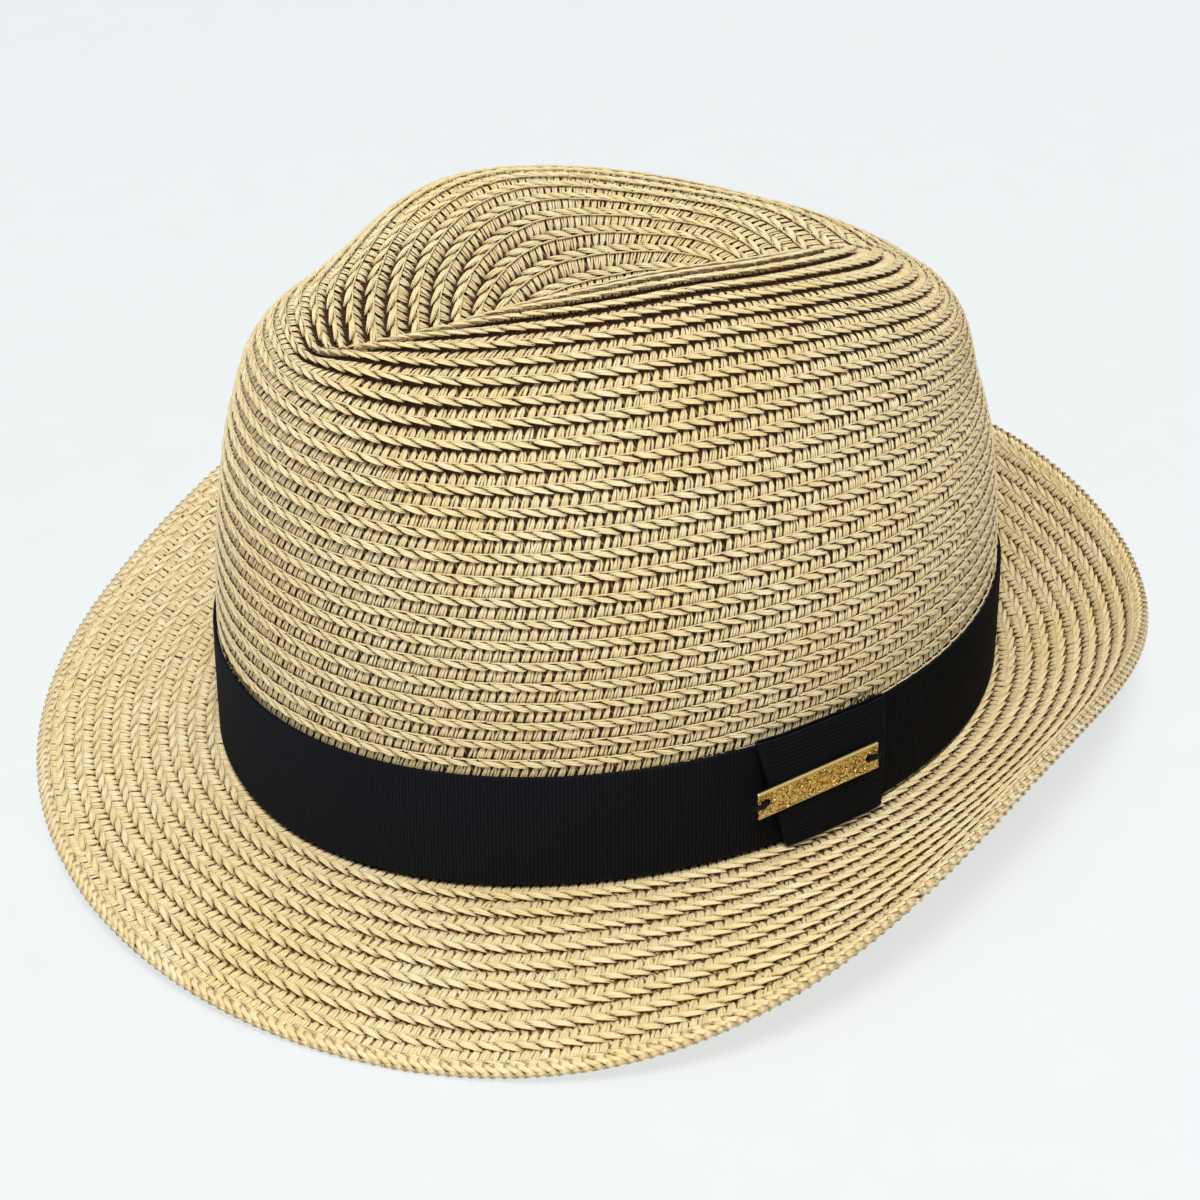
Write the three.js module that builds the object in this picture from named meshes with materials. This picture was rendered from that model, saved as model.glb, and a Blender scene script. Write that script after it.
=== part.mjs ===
// A short-brimmed straw fedora: paper-straw braid sewn round and round into an oval crown with a
// centre crease, front pinch and a brim that is snapped down in front and turned up behind.
// Millimetres, +Z up, wearer's face towards -Y, wearer's left towards +X. The origin is on the table
// under the middle of the hat.
import * as THREE from "three";
import { mergeVertices } from "three/addons/utils/BufferGeometryUtils.js";

// Head oval, measured on the outside of the braid where crown meets brim.
const OVAL_HALF_WIDTH = 87.3;
const OVAL_EXTRA_LENGTH = 17.2;
const BRAID_THICKNESS = 2.2;
const SEAM_GAP = 0.3;

// Crown.
const CROWN_HEIGHT = 139;
const CROWN_SHOULDER_POWER = 3.2;
const CROWN_SHOULDER_ROOT = 3.0;
const CROWN_LEAN = 0.04;
const CROWN_PEAK_Y = -26;
const FRONT_DROP = 0.034;
const BACK_DROP = 0.209;
const FAR_SINK = 8.3;
const SHOULDER_SWELL_BACK = 8.8;
const SHOULDER_SWELL_FRONT = 2.3;
const BASE_RISE_TO_BACK = 1.5;
const BASE_RISE_AT_SIDES = 2.5;
const BASE_DIP = 1.6;
const BASE_DIP_ANGLE = THREE.MathUtils.degToRad(35);

// Centre crease and the pinch beside it.
const CREASE_DEPTH = 35;
const CREASE_HALF_WIDTH = 24;
const CREASE_FRONT_Y = -92;
const CREASE_BACK_Y = 78;
const PINCH_NARROWING = 0.133;
const PINCH_Y = -58;
const PINCH_LEFT = 8;
const PINCH_RIGHT = 3;
const PINCH_SINK = 4;

// Brim: width and mean slope, both as they vary round the head.
const BRIM_WIDTH = 48.4;
const BRIM_WIDTH_TO_BACK = -2.8;
const BRIM_WIDTH_AT_SIDES = 4.4;
const BRIM_EDGE_WIDTH = 2.9;
const BRIM_EDGE_THICKNESS = 3.4;
const BRIM_SLOPE_MEAN = 16.3;
const BRIM_SLOPE_TO_BACK = 27;
const BRIM_SLOPE_AT_SIDES = 5.9;
const BRIM_SLOPE_THIRD = 6.8;
const BRIM_SLOPE_FOURTH = 3.4;
const BRIM_SLOPE_FIFTH = 2.2;
const BRIM_SLOPE_LOPSIDED = -2.9;
const BRIM_SLOPE_TWIST = 2.4;
const BRIM_SLOPE_START = 0.4;
const BRIM_SLOPE_GROWTH = 1.2;

// The hat stands on the front of the brim and the back of the crown's base.
const STANDING_TILT = THREE.MathUtils.degToRad(3.05);

// Ribbon trim on the outside.
const RIBBON_THICKNESS = 0.6;
const BAND_BOTTOM = 1.4;
const BAND_TOP = 31.5;
const BOW_FRONT_Y = -13.5;
const BOW_FRONT_LEAN = 8.5;
const BOW_BACK_Y = 22.5;
const BOW_BOTTOM = 1.6;
const BOW_TOP = 34;
const BOW_LAYER = 0.6;
const BOW_INSIDE = 0.6;
const TAIL_FRONT_Y = 4;
const TAIL_TOP = 32.6;

// Metal plate sewn across the bow.
const PLATE_LENGTH = 34;
const PLATE_HEIGHT = 7.4;
const PLATE_THICKNESS = 0.8;
const PLATE_MIDDLE_Y = 2.4;
const PLATE_RISE = 18.6;
const NOTCH_RADIUS = 1.2;
const NOTCH_DEPTH = 2.4;
const NOTCH_MOUTH = 0.7;
const THREAD_RADIUS = 0.3;

// Sweatband inside the head opening.
const SWEATBAND_THICKNESS = 0.8;
const SWEATBAND_BOTTOM = 4.0;
const SWEATBAND_TOP = 33;
const SEAM_HEIGHT = 7.5;
const SEAM_RADIUS = 0.4;
const LABEL_WIDTH = 24;
const LABEL_BOTTOM = 12;
const LABEL_TOP = 24;
const LABEL_THICKNESS = 0.4;

// Fineness of the surfaces.
const ROUND_STEPS = 60;
const WALL_STEPS = 8;
const TOP_STEPS = 13;
const BRIM_STEPS = 6;
const MERIDIAN_STEPS = 400;
const FULL_TURN = 2 * Math.PI;

function ease(from, to, value) {
  const t = THREE.MathUtils.clamp((value - from) / (to - from), 0, 1);
  return t * t * (3 - 2 * t);
}

// The crown's upright profile before it is creased: radius and height by distance up the braid.
function makeMeridian() {
  const points = [];
  let travelled = 0;
  for (let i = 0; i <= MERIDIAN_STEPS; i++) {
    const share = Math.sin((i / MERIDIAN_STEPS) * (Math.PI / 2));
    const full = 1 - share ** CROWN_SHOULDER_POWER;
    const roundness = Math.max(full, 0) ** (1 / CROWN_SHOULDER_ROOT);
    const radius = OVAL_HALF_WIDTH * roundness * (1 - CROWN_LEAN * share);
    const height = CROWN_HEIGHT * share;
    if (i > 0) {
      const last = points[i - 1];
      travelled += Math.hypot(radius - last.radius, height - last.height);
    }
    points.push({ radius, height, travelled });
  }
  return points;
}

const meridian = makeMeridian();
const CROWN_RISE = meridian[MERIDIAN_STEPS].travelled;
const WALL_RISE = 0.47 * CROWN_RISE;

function meridianAt(rise) {
  const wanted = THREE.MathUtils.clamp(rise, 0, CROWN_RISE);
  let i = 1;
  while (i < MERIDIAN_STEPS && meridian[i].travelled < wanted) i++;
  const a = meridian[i - 1];
  const b = meridian[i];
  const length = b.travelled - a.travelled;
  const t = (wanted - a.travelled) / length;
  return {
    radius: a.radius + (b.radius - a.radius) * t,
    height: a.height + (b.height - a.height) * t,
    outward: wanted < CROWN_RISE ? (b.height - a.height) / length : 0,
    upward: wanted < CROWN_RISE ? (a.radius - b.radius) / length : 1,
  };
}

function settled(x, y, z) {
  const point = new THREE.Vector3(x, y, z);
  return point.applyAxisAngle(new THREE.Vector3(1, 0, 0), -STANDING_TILT);
}

function baseHeight(angle) {
  const level = BASE_RISE_TO_BACK * Math.sin(angle) + BASE_RISE_AT_SIDES * Math.cos(2 * angle);
  return level - BASE_DIP * Math.cos(angle - BASE_DIP_ANGLE);
}

// How far the shoulder of the crown is fuller than its upright profile.
function shoulderSwell(angle, share) {
  const towardsBack = Math.sin(angle);
  const most = towardsBack > 0 ? SHOULDER_SWELL_BACK : -SHOULDER_SWELL_FRONT;
  return most * towardsBack * ease(0.6, 0.9, share) * (1 - ease(0.93, 1, share));
}

// How far the crease has sunk the top at a spot, in millimetres.
function creaseDepth(x, y, share) {
  const opens = ease(CREASE_FRONT_Y, CREASE_FRONT_Y + 42, y);
  const closes = 1 - ease(CREASE_BACK_Y - 85, CREASE_BACK_Y + 22, y);
  const frontTaper = 0.5 + 0.5 * ease(-95, -15, y);
  const backTaper = 1 - 0.4 * ease(10, 80, y);
  const halfWidth = CREASE_HALF_WIDTH * frontTaper * backTaper;
  const section = Math.exp(-((Math.abs(x) / halfWidth) ** 1.6));
  return CREASE_DEPTH * section * opens * closes * ease(0.55, 0.95, share);
}

// How much the thumb-and-finger pinch presses in a spot beside the crease, from 0 to 1.
function pinchAt(x, y, share) {
  const along = ((y - PINCH_Y) / 20) ** 2;
  const up = ((share - 0.86) / 0.13) ** 2;
  return Math.exp(-(along + up)) * ease(5, 30, Math.abs(x));
}

// A point on the crown's outer face, or inside or outside it by `offset`.
function crownPoint(angle, rise, offset = 0) {
  const m = meridianAt(rise);
  const share = m.height / CROWN_HEIGHT;
  const radius = m.radius + shoulderSwell(angle, share);
  const y = (radius + OVAL_EXTRA_LENGTH) * Math.sin(angle);
  const drop = y < CROWN_PEAK_Y ? FRONT_DROP : BACK_DROP;
  let z = m.height * (1 - drop * share ** 2 * ((y - CROWN_PEAK_Y) / 104) ** 2);
  const opens = ease(CREASE_FRONT_Y - 20, CREASE_FRONT_Y + 30, y);
  const closes = 1 - ease(CREASE_BACK_Y - 60, CREASE_BACK_Y + 40, y);
  const narrowing = PINCH_NARROWING * opens * closes * ease(0.3, 1, share);
  const side = radius * Math.cos(angle);
  z -= FAR_SINK * share ** 3 * ease(0, 40, -side) * ease(-30, 50, y);
  let x = side * (1 - narrowing);
  z -= creaseDepth(x, y, share);
  const press = pinchAt(x, y, share);
  z -= PINCH_SINK * press;
  x -= press * (x > 0 ? PINCH_LEFT : -PINCH_RIGHT);
  z += baseHeight(angle) * (1 - ease(0, 0.6, share));
  const across = m.outward * offset;
  return settled(
    x + across * Math.cos(angle),
    y + across * Math.sin(angle),
    z + m.upward * offset,
  );
}

function brimWidth(angle) {
  const back = BRIM_WIDTH_TO_BACK * Math.sin(angle);
  return BRIM_WIDTH + back + BRIM_WIDTH_AT_SIDES * Math.cos(2 * angle);
}

function brimSlope(angle) {
  const degrees =
    BRIM_SLOPE_MEAN +
    BRIM_SLOPE_TO_BACK * Math.sin(angle) +
    BRIM_SLOPE_AT_SIDES * Math.cos(2 * angle) +
    BRIM_SLOPE_THIRD * Math.sin(3 * angle) +
    BRIM_SLOPE_FOURTH * Math.cos(4 * angle) +
    BRIM_SLOPE_FIFTH * Math.sin(5 * angle) +
    BRIM_SLOPE_LOPSIDED * Math.cos(angle) +
    BRIM_SLOPE_TWIST * Math.sin(2 * angle);
  return THREE.MathUtils.degToRad(degrees);
}

// A point on the brim's top face, `out` along the braid from the crown's foot, lifted by `offset`.
function brimPoint(angle, out, offset = 0) {
  const halfLength = OVAL_HALF_WIDTH + OVAL_EXTRA_LENGTH;
  const plan = new THREE.Vector2(Math.cos(angle) / OVAL_HALF_WIDTH, Math.sin(angle) / halfLength);
  plan.normalize();
  const width = brimWidth(angle);
  const slope = brimSlope(angle);
  const steps = 12;
  let across = 0;
  let up = 0;
  for (let i = 0; i < steps; i++) {
    const share = ((i + 0.5) / steps) * (out / width);
    const local = slope * (BRIM_SLOPE_START + BRIM_SLOPE_GROWTH * share);
    across += (Math.cos(local) * out) / steps;
    up += (Math.sin(local) * out) / steps;
  }
  const end = slope * (BRIM_SLOPE_START + BRIM_SLOPE_GROWTH * (out / width));
  across -= Math.sin(end) * offset;
  up += Math.cos(end) * offset;
  return settled(
    OVAL_HALF_WIDTH * Math.cos(angle) + plan.x * across,
    halfLength * Math.sin(angle) + plan.y * across,
    baseHeight(angle) + up,
  );
}

// Distance up the braid at which the crown's face reaches a level height above the table plane.
function riseAtHeight(angle, height, offset) {
  let low = 0;
  let high = WALL_RISE;
  for (let i = 0; i < 24; i++) {
    const middle = (low + high) / 2;
    if (crownPoint(angle, middle, offset).z < height) low = middle;
    else high = middle;
  }
  return (low + high) / 2;
}

// A closed solid from a loop of stations, each a closed ring of points going the same way.
// `shut` names a step of the ring where the two halves of the solid meet and no wall is needed.
function solidFromGrid(stations, endsClosed, shut = -1) {
  const count = stations[0].length;
  const positions = [];
  const triangle = (a, b, c) => positions.push(...a.toArray(), ...b.toArray(), ...c.toArray());
  const spans = endsClosed ? stations.length - 1 : stations.length;
  for (let i = 0; i < spans; i++) {
    const here = stations[i];
    const next = stations[(i + 1) % stations.length];
    for (let j = 0; j < count; j++) {
      if (j === shut) continue;
      const k = (j + 1) % count;
      triangle(here[j], next[j], next[k]);
      triangle(here[j], next[k], here[k]);
    }
  }
  if (endsClosed) {
    for (const [ring, turn] of [[stations[0], 1], [stations[stations.length - 1], -1]]) {
      const half = count / 2;
      for (let j = 0; j < half - 1; j++) {
        const corners = [ring[j], ring[j + 1], ring[count - 2 - j], ring[count - 1 - j]];
        if (turn > 0) corners.reverse();
        triangle(corners[3], corners[2], corners[1]);
        triangle(corners[3], corners[1], corners[0]);
      }
    }
  }
  return closeUp(positions);
}

function closeUp(positions) {
  const geometry = new THREE.BufferGeometry();
  geometry.setAttribute("position", new THREE.Float32BufferAttribute(positions, 3));
  const merged = mergeVertices(geometry, 1e-4);
  const index = merged.index.array;
  const kept = [];
  for (let i = 0; i < index.length; i += 3) {
    const [a, b, c] = [index[i], index[i + 1], index[i + 2]];
    if (a !== b && b !== c && c !== a) kept.push(a, b, c);
  }
  merged.setIndex(kept);
  if (signedVolume(merged) < 0) {
    for (let i = 0; i < kept.length; i += 3) [kept[i], kept[i + 1]] = [kept[i + 1], kept[i]];
    merged.setIndex(kept);
  }
  merged.computeVertexNormals();
  return merged;
}

function signedVolume(geometry) {
  const p = geometry.getAttribute("position");
  const index = geometry.index.array;
  const [a, b, c] = [new THREE.Vector3(), new THREE.Vector3(), new THREE.Vector3()];
  let volume = 0;
  for (let i = 0; i < index.length; i += 3) {
    a.fromBufferAttribute(p, index[i]);
    b.fromBufferAttribute(p, index[i + 1]);
    c.fromBufferAttribute(p, index[i + 2]);
    volume += a.dot(b.cross(c)) / 6;
  }
  return volume;
}

// A ring round the head whose section is the closed outline `section(angle)`.
function headRing(section, shut = -1) {
  const stations = [];
  for (let i = 0; i < ROUND_STEPS; i++) stations.push(section((i / ROUND_STEPS) * FULL_TURN));
  return solidFromGrid(stations, false, shut);
}

// The outline of a sheet: up its outer face and back down its inner one.
function sheetOutline(steps, outer, inner) {
  const outline = [];
  for (let i = 0; i <= steps; i++) outline.push(outer(i / steps));
  for (let i = steps; i >= 0; i--) outline.push(inner(i / steps));
  return outline;
}

function crownSide() {
  const top = WALL_RISE - SEAM_GAP / 2;
  const rise = (t) => SEAM_GAP + t * (top - SEAM_GAP);
  return headRing((angle) =>
    sheetOutline(
      WALL_STEPS,
      (t) => crownPoint(angle, rise(t)),
      (t) => crownPoint(angle, rise(t), -BRAID_THICKNESS),
    ),
  );
}

function crownTop() {
  const foot = WALL_RISE + SEAM_GAP / 2;
  const rise = (t) => foot + t * (CROWN_RISE - foot);
  const section = (angle) =>
    sheetOutline(
      TOP_STEPS,
      (t) => crownPoint(angle, rise(t)),
      (t) => crownPoint(angle, rise(t), -BRAID_THICKNESS),
    );
  return headRing(section, TOP_STEPS);
}

function brimBraid() {
  const inside = -BRAID_THICKNESS;
  return headRing((angle) => {
    const outside = brimWidth(angle) - BRIM_EDGE_WIDTH - SEAM_GAP;
    const out = (t) => inside + t * (outside - inside);
    return sheetOutline(
      BRIM_STEPS,
      (t) => brimPoint(angle, out(t)),
      (t) => brimPoint(angle, out(t), -BRAID_THICKNESS),
    );
  });
}

function brimEdge() {
  const proud = (BRIM_EDGE_THICKNESS - BRAID_THICKNESS) / 2;
  return headRing((angle) => {
    const out = brimWidth(angle);
    const inner = out - BRIM_EDGE_WIDTH;
    return [
      brimPoint(angle, inner, proud),
      brimPoint(angle, out - 1, proud),
      brimPoint(angle, out, -BRAID_THICKNESS / 2),
      brimPoint(angle, out - 1, proud - BRIM_EDGE_THICKNESS),
      brimPoint(angle, inner, proud - BRIM_EDGE_THICKNESS),
    ];
  });
}

function hatBand() {
  const rise = (t) => BAND_BOTTOM + t * (BAND_TOP - BAND_BOTTOM);
  return headRing((angle) =>
    sheetOutline(
      3,
      (t) => crownPoint(angle, rise(t), SEAM_GAP + RIBBON_THICKNESS),
      (t) => crownPoint(angle, rise(t), SEAM_GAP),
    ),
  );
}

function sweatband() {
  const outer = -(BRAID_THICKNESS + SEAM_GAP);
  const inner = outer - SWEATBAND_THICKNESS;
  const point = (angle, t, offset) => {
    const height = SWEATBAND_BOTTOM + t * (SWEATBAND_TOP - SWEATBAND_BOTTOM);
    return crownPoint(angle, riseAtHeight(angle, height, offset), offset).setZ(height);
  };
  return headRing((angle) =>
    sheetOutline(3, (t) => point(angle, t, outer), (t) => point(angle, t, inner)),
  );
}

function sweatbandSeam() {
  const offset = -(BRAID_THICKNESS + SEAM_GAP + SWEATBAND_THICKNESS + SEAM_GAP + SEAM_RADIUS);
  const corners = 5;
  return headRing((angle) => {
    const centre = crownPoint(angle, riseAtHeight(angle, SEAM_HEIGHT, offset), offset);
    const outline = [];
    for (let i = 0; i < corners; i++) {
      const turn = (i / corners) * FULL_TURN;
      const across = SEAM_RADIUS * Math.cos(turn);
      const point = centre.clone();
      point.x += across * Math.cos(angle);
      point.y += across * Math.sin(angle);
      point.z = SEAM_HEIGHT + SEAM_RADIUS * Math.sin(turn);
      outline.push(point);
    }
    return outline;
  });
}

// The angle at which the crown's left side is `y` along the head.
function angleAtY(y) {
  return Math.asin(y / (OVAL_HALF_WIDTH + OVAL_EXTRA_LENGTH));
}

// A flat patch that follows the crown, from outline corners given as [y, offset] at each rise.
function uprightSolid(outlineAt, bottom, top, steps) {
  const stations = [];
  for (let i = 0; i <= steps; i++) {
    const rise = bottom + (i / steps) * (top - bottom);
    stations.push(outlineAt(rise).map(([y, offset]) => crownPoint(angleAtY(y), rise, offset)));
  }
  return stations;
}

function flatOutline(front, back, inner, outer, steps) {
  const outline = [];
  for (let i = 0; i <= steps; i++) outline.push([front + (i / steps) * (back - front), outer]);
  for (let i = steps; i >= 0; i--) outline.push([front + (i / steps) * (back - front), inner]);
  return outline;
}

function bowFront(rise) {
  return BOW_FRONT_Y + BOW_FRONT_LEAN * (1 - (rise - BOW_BOTTOM) / (BOW_TOP - BOW_BOTTOM));
}

// The bow: ribbon folded back on itself into a flat loop that is open at top and bottom.
function bowLoop() {
  const inner = TAIL_OUTER + SEAM_GAP;
  const outer = inner + 2 * BOW_LAYER + BOW_INSIDE;
  const steps = 6;
  const outside = uprightSolid(
    (rise) => flatOutline(bowFront(rise), BOW_BACK_Y, inner, outer, steps),
    BOW_BOTTOM,
    BOW_TOP,
    4,
  );
  const hollow = uprightSolid(
    (rise) => {
      const front = bowFront(rise) + BOW_LAYER;
      return flatOutline(front, BOW_BACK_Y - BOW_LAYER, inner + BOW_LAYER, outer - BOW_LAYER, steps);
    },
    BOW_BOTTOM,
    BOW_TOP,
    4,
  );
  return solidFromGrid([...outside, ...hollow.reverse()], false);
}

function bowTail() {
  const outline = () => flatOutline(TAIL_FRONT_Y, BOW_BACK_Y - 1.5, TAIL_INNER, TAIL_OUTER, 3);
  return solidFromGrid(uprightSolid(outline, BOW_BOTTOM + 0.6, TAIL_TOP, 2), true);
}

const TAIL_INNER = 2 * SEAM_GAP + RIBBON_THICKNESS;
const TAIL_OUTER = TAIL_INNER + RIBBON_THICKNESS;
const BOW_OUTER = TAIL_OUTER + SEAM_GAP + 2 * BOW_LAYER + BOW_INSIDE;

function plateOutline() {
  const half = PLATE_LENGTH / 2;
  const up = PLATE_HEIGHT / 2;
  const reach = Math.acos(NOTCH_MOUTH / NOTCH_RADIUS);
  const shape = new THREE.Shape();
  shape.moveTo(-half, -up);
  shape.lineTo(half, -up);
  shape.lineTo(half, -NOTCH_MOUTH);
  const centre = half - NOTCH_DEPTH;
  const turn = Math.PI / 2 - reach;
  shape.absarc(centre, 0, NOTCH_RADIUS, -turn, turn, true);
  shape.lineTo(half, NOTCH_MOUTH);
  shape.lineTo(half, up);
  shape.lineTo(-half, up);
  shape.lineTo(-half, NOTCH_MOUTH);
  shape.absarc(-centre, 0, NOTCH_RADIUS, Math.PI - turn, Math.PI + turn, true);
  shape.lineTo(-half, -NOTCH_MOUTH);
  shape.closePath();
  return shape;
}

// Stands something drawn flat, X along the plate and Y up it, on the front of the bow.
function onTheBow(geometry, distance) {
  const angle = angleAtY(PLATE_MIDDLE_Y);
  const at = crownPoint(angle, PLATE_RISE, BOW_OUTER + SEAM_GAP + distance);
  const out = crownPoint(angle, PLATE_RISE, 10).sub(crownPoint(angle, PLATE_RISE, 0)).normalize();
  const along = new THREE.Vector3(0, 1, 0).addScaledVector(out, -out.y).normalize();
  const up = new THREE.Vector3().crossVectors(out, along);
  const frame = new THREE.Matrix4().makeBasis(along, up, out).setPosition(at);
  return geometry.applyMatrix4(frame);
}

function metalPlate() {
  const geometry = new THREE.ExtrudeGeometry(plateOutline(), {
    depth: PLATE_THICKNESS,
    bevelEnabled: false,
    curveSegments: 5,
  });
  return onTheBow(geometry, 0);
}

// Thread over one end of the plate, from its notch to just past its end.
function plateThread(side) {
  const end = PLATE_LENGTH / 2;
  const low = THREAD_RADIUS + 0.05;
  const high = PLATE_THICKNESS + THREAD_RADIUS + 0.2;
  const path = new THREE.CatmullRomCurve3([
    new THREE.Vector3(side * (end - NOTCH_DEPTH), 0, low),
    new THREE.Vector3(side * (end - NOTCH_DEPTH + 0.3), 0, high - 0.2),
    new THREE.Vector3(side * (end - 0.4), 0, high),
    new THREE.Vector3(side * (end + 0.9), 0, high - 0.3),
    new THREE.Vector3(side * (end + 1.2), 0, low),
  ]);
  const section = new THREE.Shape().absarc(0, 0, THREAD_RADIUS, 0, FULL_TURN, false);
  const geometry = new THREE.ExtrudeGeometry(section, {
    steps: 10,
    curveSegments: 3,
    extrudePath: path,
  });
  return onTheBow(geometry, 0);
}

function sizeLabel() {
  const outer = -(BRAID_THICKNESS + 2 * SEAM_GAP + SWEATBAND_THICKNESS);
  const halfAngle = LABEL_WIDTH / 2 / (OVAL_HALF_WIDTH - BRAID_THICKNESS);
  const stations = [];
  const steps = 4;
  for (let i = 0; i <= steps; i++) {
    const angle = Math.PI / 2 + halfAngle * ((2 * i) / steps - 1);
    const corner = (height, offset) =>
      crownPoint(angle, riseAtHeight(angle, height, offset), offset);
    stations.push([
      corner(LABEL_BOTTOM, outer),
      corner(LABEL_TOP, outer),
      corner(LABEL_TOP, outer - LABEL_THICKNESS),
      corner(LABEL_BOTTOM, outer - LABEL_THICKNESS),
    ]);
  }
  return solidFromGrid(stations, true);
}

function straw() {
  return new THREE.MeshStandardMaterial({ color: 0xdccfa2, roughness: 0.75, metalness: 0 });
}

function ribbon() {
  return new THREE.MeshStandardMaterial({ color: 0x0f131b, roughness: 0.6, metalness: 0 });
}

function gold() {
  return new THREE.MeshStandardMaterial({ color: 0xd8b04a, roughness: 0.25, metalness: 1 });
}

function blackThread() {
  return new THREE.MeshStandardMaterial({ color: 0x0b0d12, roughness: 0.8, metalness: 0 });
}

function sweatbandCloth() {
  return new THREE.MeshStandardMaterial({ color: 0xd9cfb4, roughness: 0.85, metalness: 0 });
}

function seamThread() {
  return new THREE.MeshStandardMaterial({ color: 0xe9e0c4, roughness: 0.8, metalness: 0 });
}

function labelCloth() {
  return new THREE.MeshStandardMaterial({ color: 0xf1ede2, roughness: 0.8, metalness: 0 });
}

const hat = new THREE.Group();
hat.name = "straw_fedora";

function add(name, geometry, material) {
  const mesh = new THREE.Mesh(geometry, material);
  mesh.name = name;
  hat.add(mesh);
}

add("crown_top", crownTop(), straw());
add("crown_side", crownSide(), straw());
add("brim_braid", brimBraid(), straw());
add("brim_edge", brimEdge(), straw());
add("hat_band", hatBand(), ribbon());
add("bow_loop", bowLoop(), ribbon());
add("bow_tail", bowTail(), ribbon());
add("metal_plate", metalPlate(), gold());
add("plate_thread_front", plateThread(-1), blackThread());
add("plate_thread_back", plateThread(1), blackThread());
add("sweatband", sweatband(), sweatbandCloth());
add("sweatband_seam", sweatbandSeam(), seamThread());
add("size_label", sizeLabel(), labelCloth());

// Stand the hat on the table with its middle over the origin.
const extent = new THREE.Box3().setFromObject(hat);
const middle = extent.getCenter(new THREE.Vector3());
hat.position.set(-middle.x, -middle.y, -extent.min.z);

export default hat;
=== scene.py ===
"""A short-brimmed straw fedora: paper-straw braid sewn round and round, with a black grosgrain band,
a flat bow and a hammered gold plate. Lengths are in millimetres until a mesh is made."""
import math

import bmesh
import bpy
import numpy as np
from mathutils import Matrix, Vector


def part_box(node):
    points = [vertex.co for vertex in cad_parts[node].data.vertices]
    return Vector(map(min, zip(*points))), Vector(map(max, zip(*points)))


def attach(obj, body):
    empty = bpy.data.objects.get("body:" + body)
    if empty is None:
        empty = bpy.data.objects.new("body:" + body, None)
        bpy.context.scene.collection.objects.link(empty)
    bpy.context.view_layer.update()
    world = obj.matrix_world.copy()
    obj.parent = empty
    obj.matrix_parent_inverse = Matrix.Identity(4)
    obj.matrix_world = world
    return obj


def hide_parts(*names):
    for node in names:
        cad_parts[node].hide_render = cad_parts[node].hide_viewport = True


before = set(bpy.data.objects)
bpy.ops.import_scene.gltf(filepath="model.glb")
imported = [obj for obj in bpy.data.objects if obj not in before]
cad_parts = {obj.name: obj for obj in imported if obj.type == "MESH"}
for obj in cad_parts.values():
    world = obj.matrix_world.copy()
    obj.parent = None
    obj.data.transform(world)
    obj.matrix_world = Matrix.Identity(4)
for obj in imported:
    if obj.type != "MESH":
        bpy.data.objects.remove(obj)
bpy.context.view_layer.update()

MM = 0.001
TURN = 2 * math.pi
rng = np.random.default_rng(58)

# ---------------- the hat's form, as in the CAD
HALF_WIDTH = 87.3
EXTRA_LENGTH = 17.2
CROWN_HEIGHT = 139.0
SHOULDER_POWER = 3.2
SHOULDER_ROOT = 3.0
CROWN_LEAN = 0.04
PEAK_Y = -26.0
FRONT_DROP = 0.034
BACK_DROP = 0.209
FAR_SINK = 8.3
SHOULDER_SWELL_BACK = 8.8
SHOULDER_SWELL_FRONT = 2.3
BASE_RISE_TO_BACK = 1.5
BASE_RISE_AT_SIDES = 2.5
BASE_DIP = 1.6
BASE_DIP_ANGLE = math.radians(35)
CREASE_DEPTH = 35.0
CREASE_HALF_WIDTH = 24.0
CREASE_FRONT_Y = -92.0
CREASE_BACK_Y = 78.0
PINCH_NARROWING = 0.133
PINCH_Y = -58.0
PINCH_LEFT = 8.0
PINCH_RIGHT = 3.0
PINCH_SINK = 4.0
PINCH_LENGTH = 20.0
PINCH_SHARE = 0.86
PINCH_SHARE_SPREAD = 0.13
CREASE_POWER = 1.6
DROP_REACH = 104.0
BRIM_WIDTH = 48.4
BRIM_EDGE_WIDTH = 2.9
BRAID_THICKNESS = 2.2
STANDING_TILT = math.radians(3.05)
SWEATBAND_FOOT = 4.0


def ease(start, end, value):
    t = np.clip((value - start) / (end - start), 0, 1)
    return t * t * (3 - 2 * t)


def make_meridian():
    share = np.sin(np.linspace(0, math.pi / 2, 401))
    radius = HALF_WIDTH * np.maximum(1 - share**SHOULDER_POWER, 0) ** (1 / SHOULDER_ROOT)
    radius *= 1 - CROWN_LEAN * share
    height = CROWN_HEIGHT * share
    steps = np.hypot(np.diff(radius), np.diff(height))
    return radius, height, np.concatenate([[0], np.cumsum(steps)])


MERIDIAN_RADIUS, MERIDIAN_HEIGHT, MERIDIAN_RISE = make_meridian()
CROWN_RISE = MERIDIAN_RISE[-1]


def meridian(rise):
    """Radius and height of the crown's wall at a distance `rise` up the braid."""
    return np.interp(rise, MERIDIAN_RISE, MERIDIAN_RADIUS), np.interp(rise, MERIDIAN_RISE, MERIDIAN_HEIGHT)


def settled(x, y, z):
    c, s = math.cos(STANDING_TILT), math.sin(STANDING_TILT)
    return np.stack([x, y * c + z * s, z * c - y * s], axis=-1)


# The CAD stands the hat on the table with its middle over the origin. The sweatband's lower edge is
# level, so its height gives the lift; the rim's box gives the rest.
def frame_shift():
    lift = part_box("sweatband")[0].z / MM - SWEATBAND_FOOT
    angles = np.linspace(0, TURN, 361)
    edge = bare_brim(angles, brim_width(angles), -BRAID_THICKNESS / 2)
    low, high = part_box("brim_edge")
    middle_x = (edge[:, 0].min() + edge[:, 0].max()) / 2
    middle_y = (edge[:, 1].min() + edge[:, 1].max()) / 2
    return np.array([(low.x + high.x) / 2 / MM - middle_x, (low.y + high.y) / 2 / MM - middle_y, lift])


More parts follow.
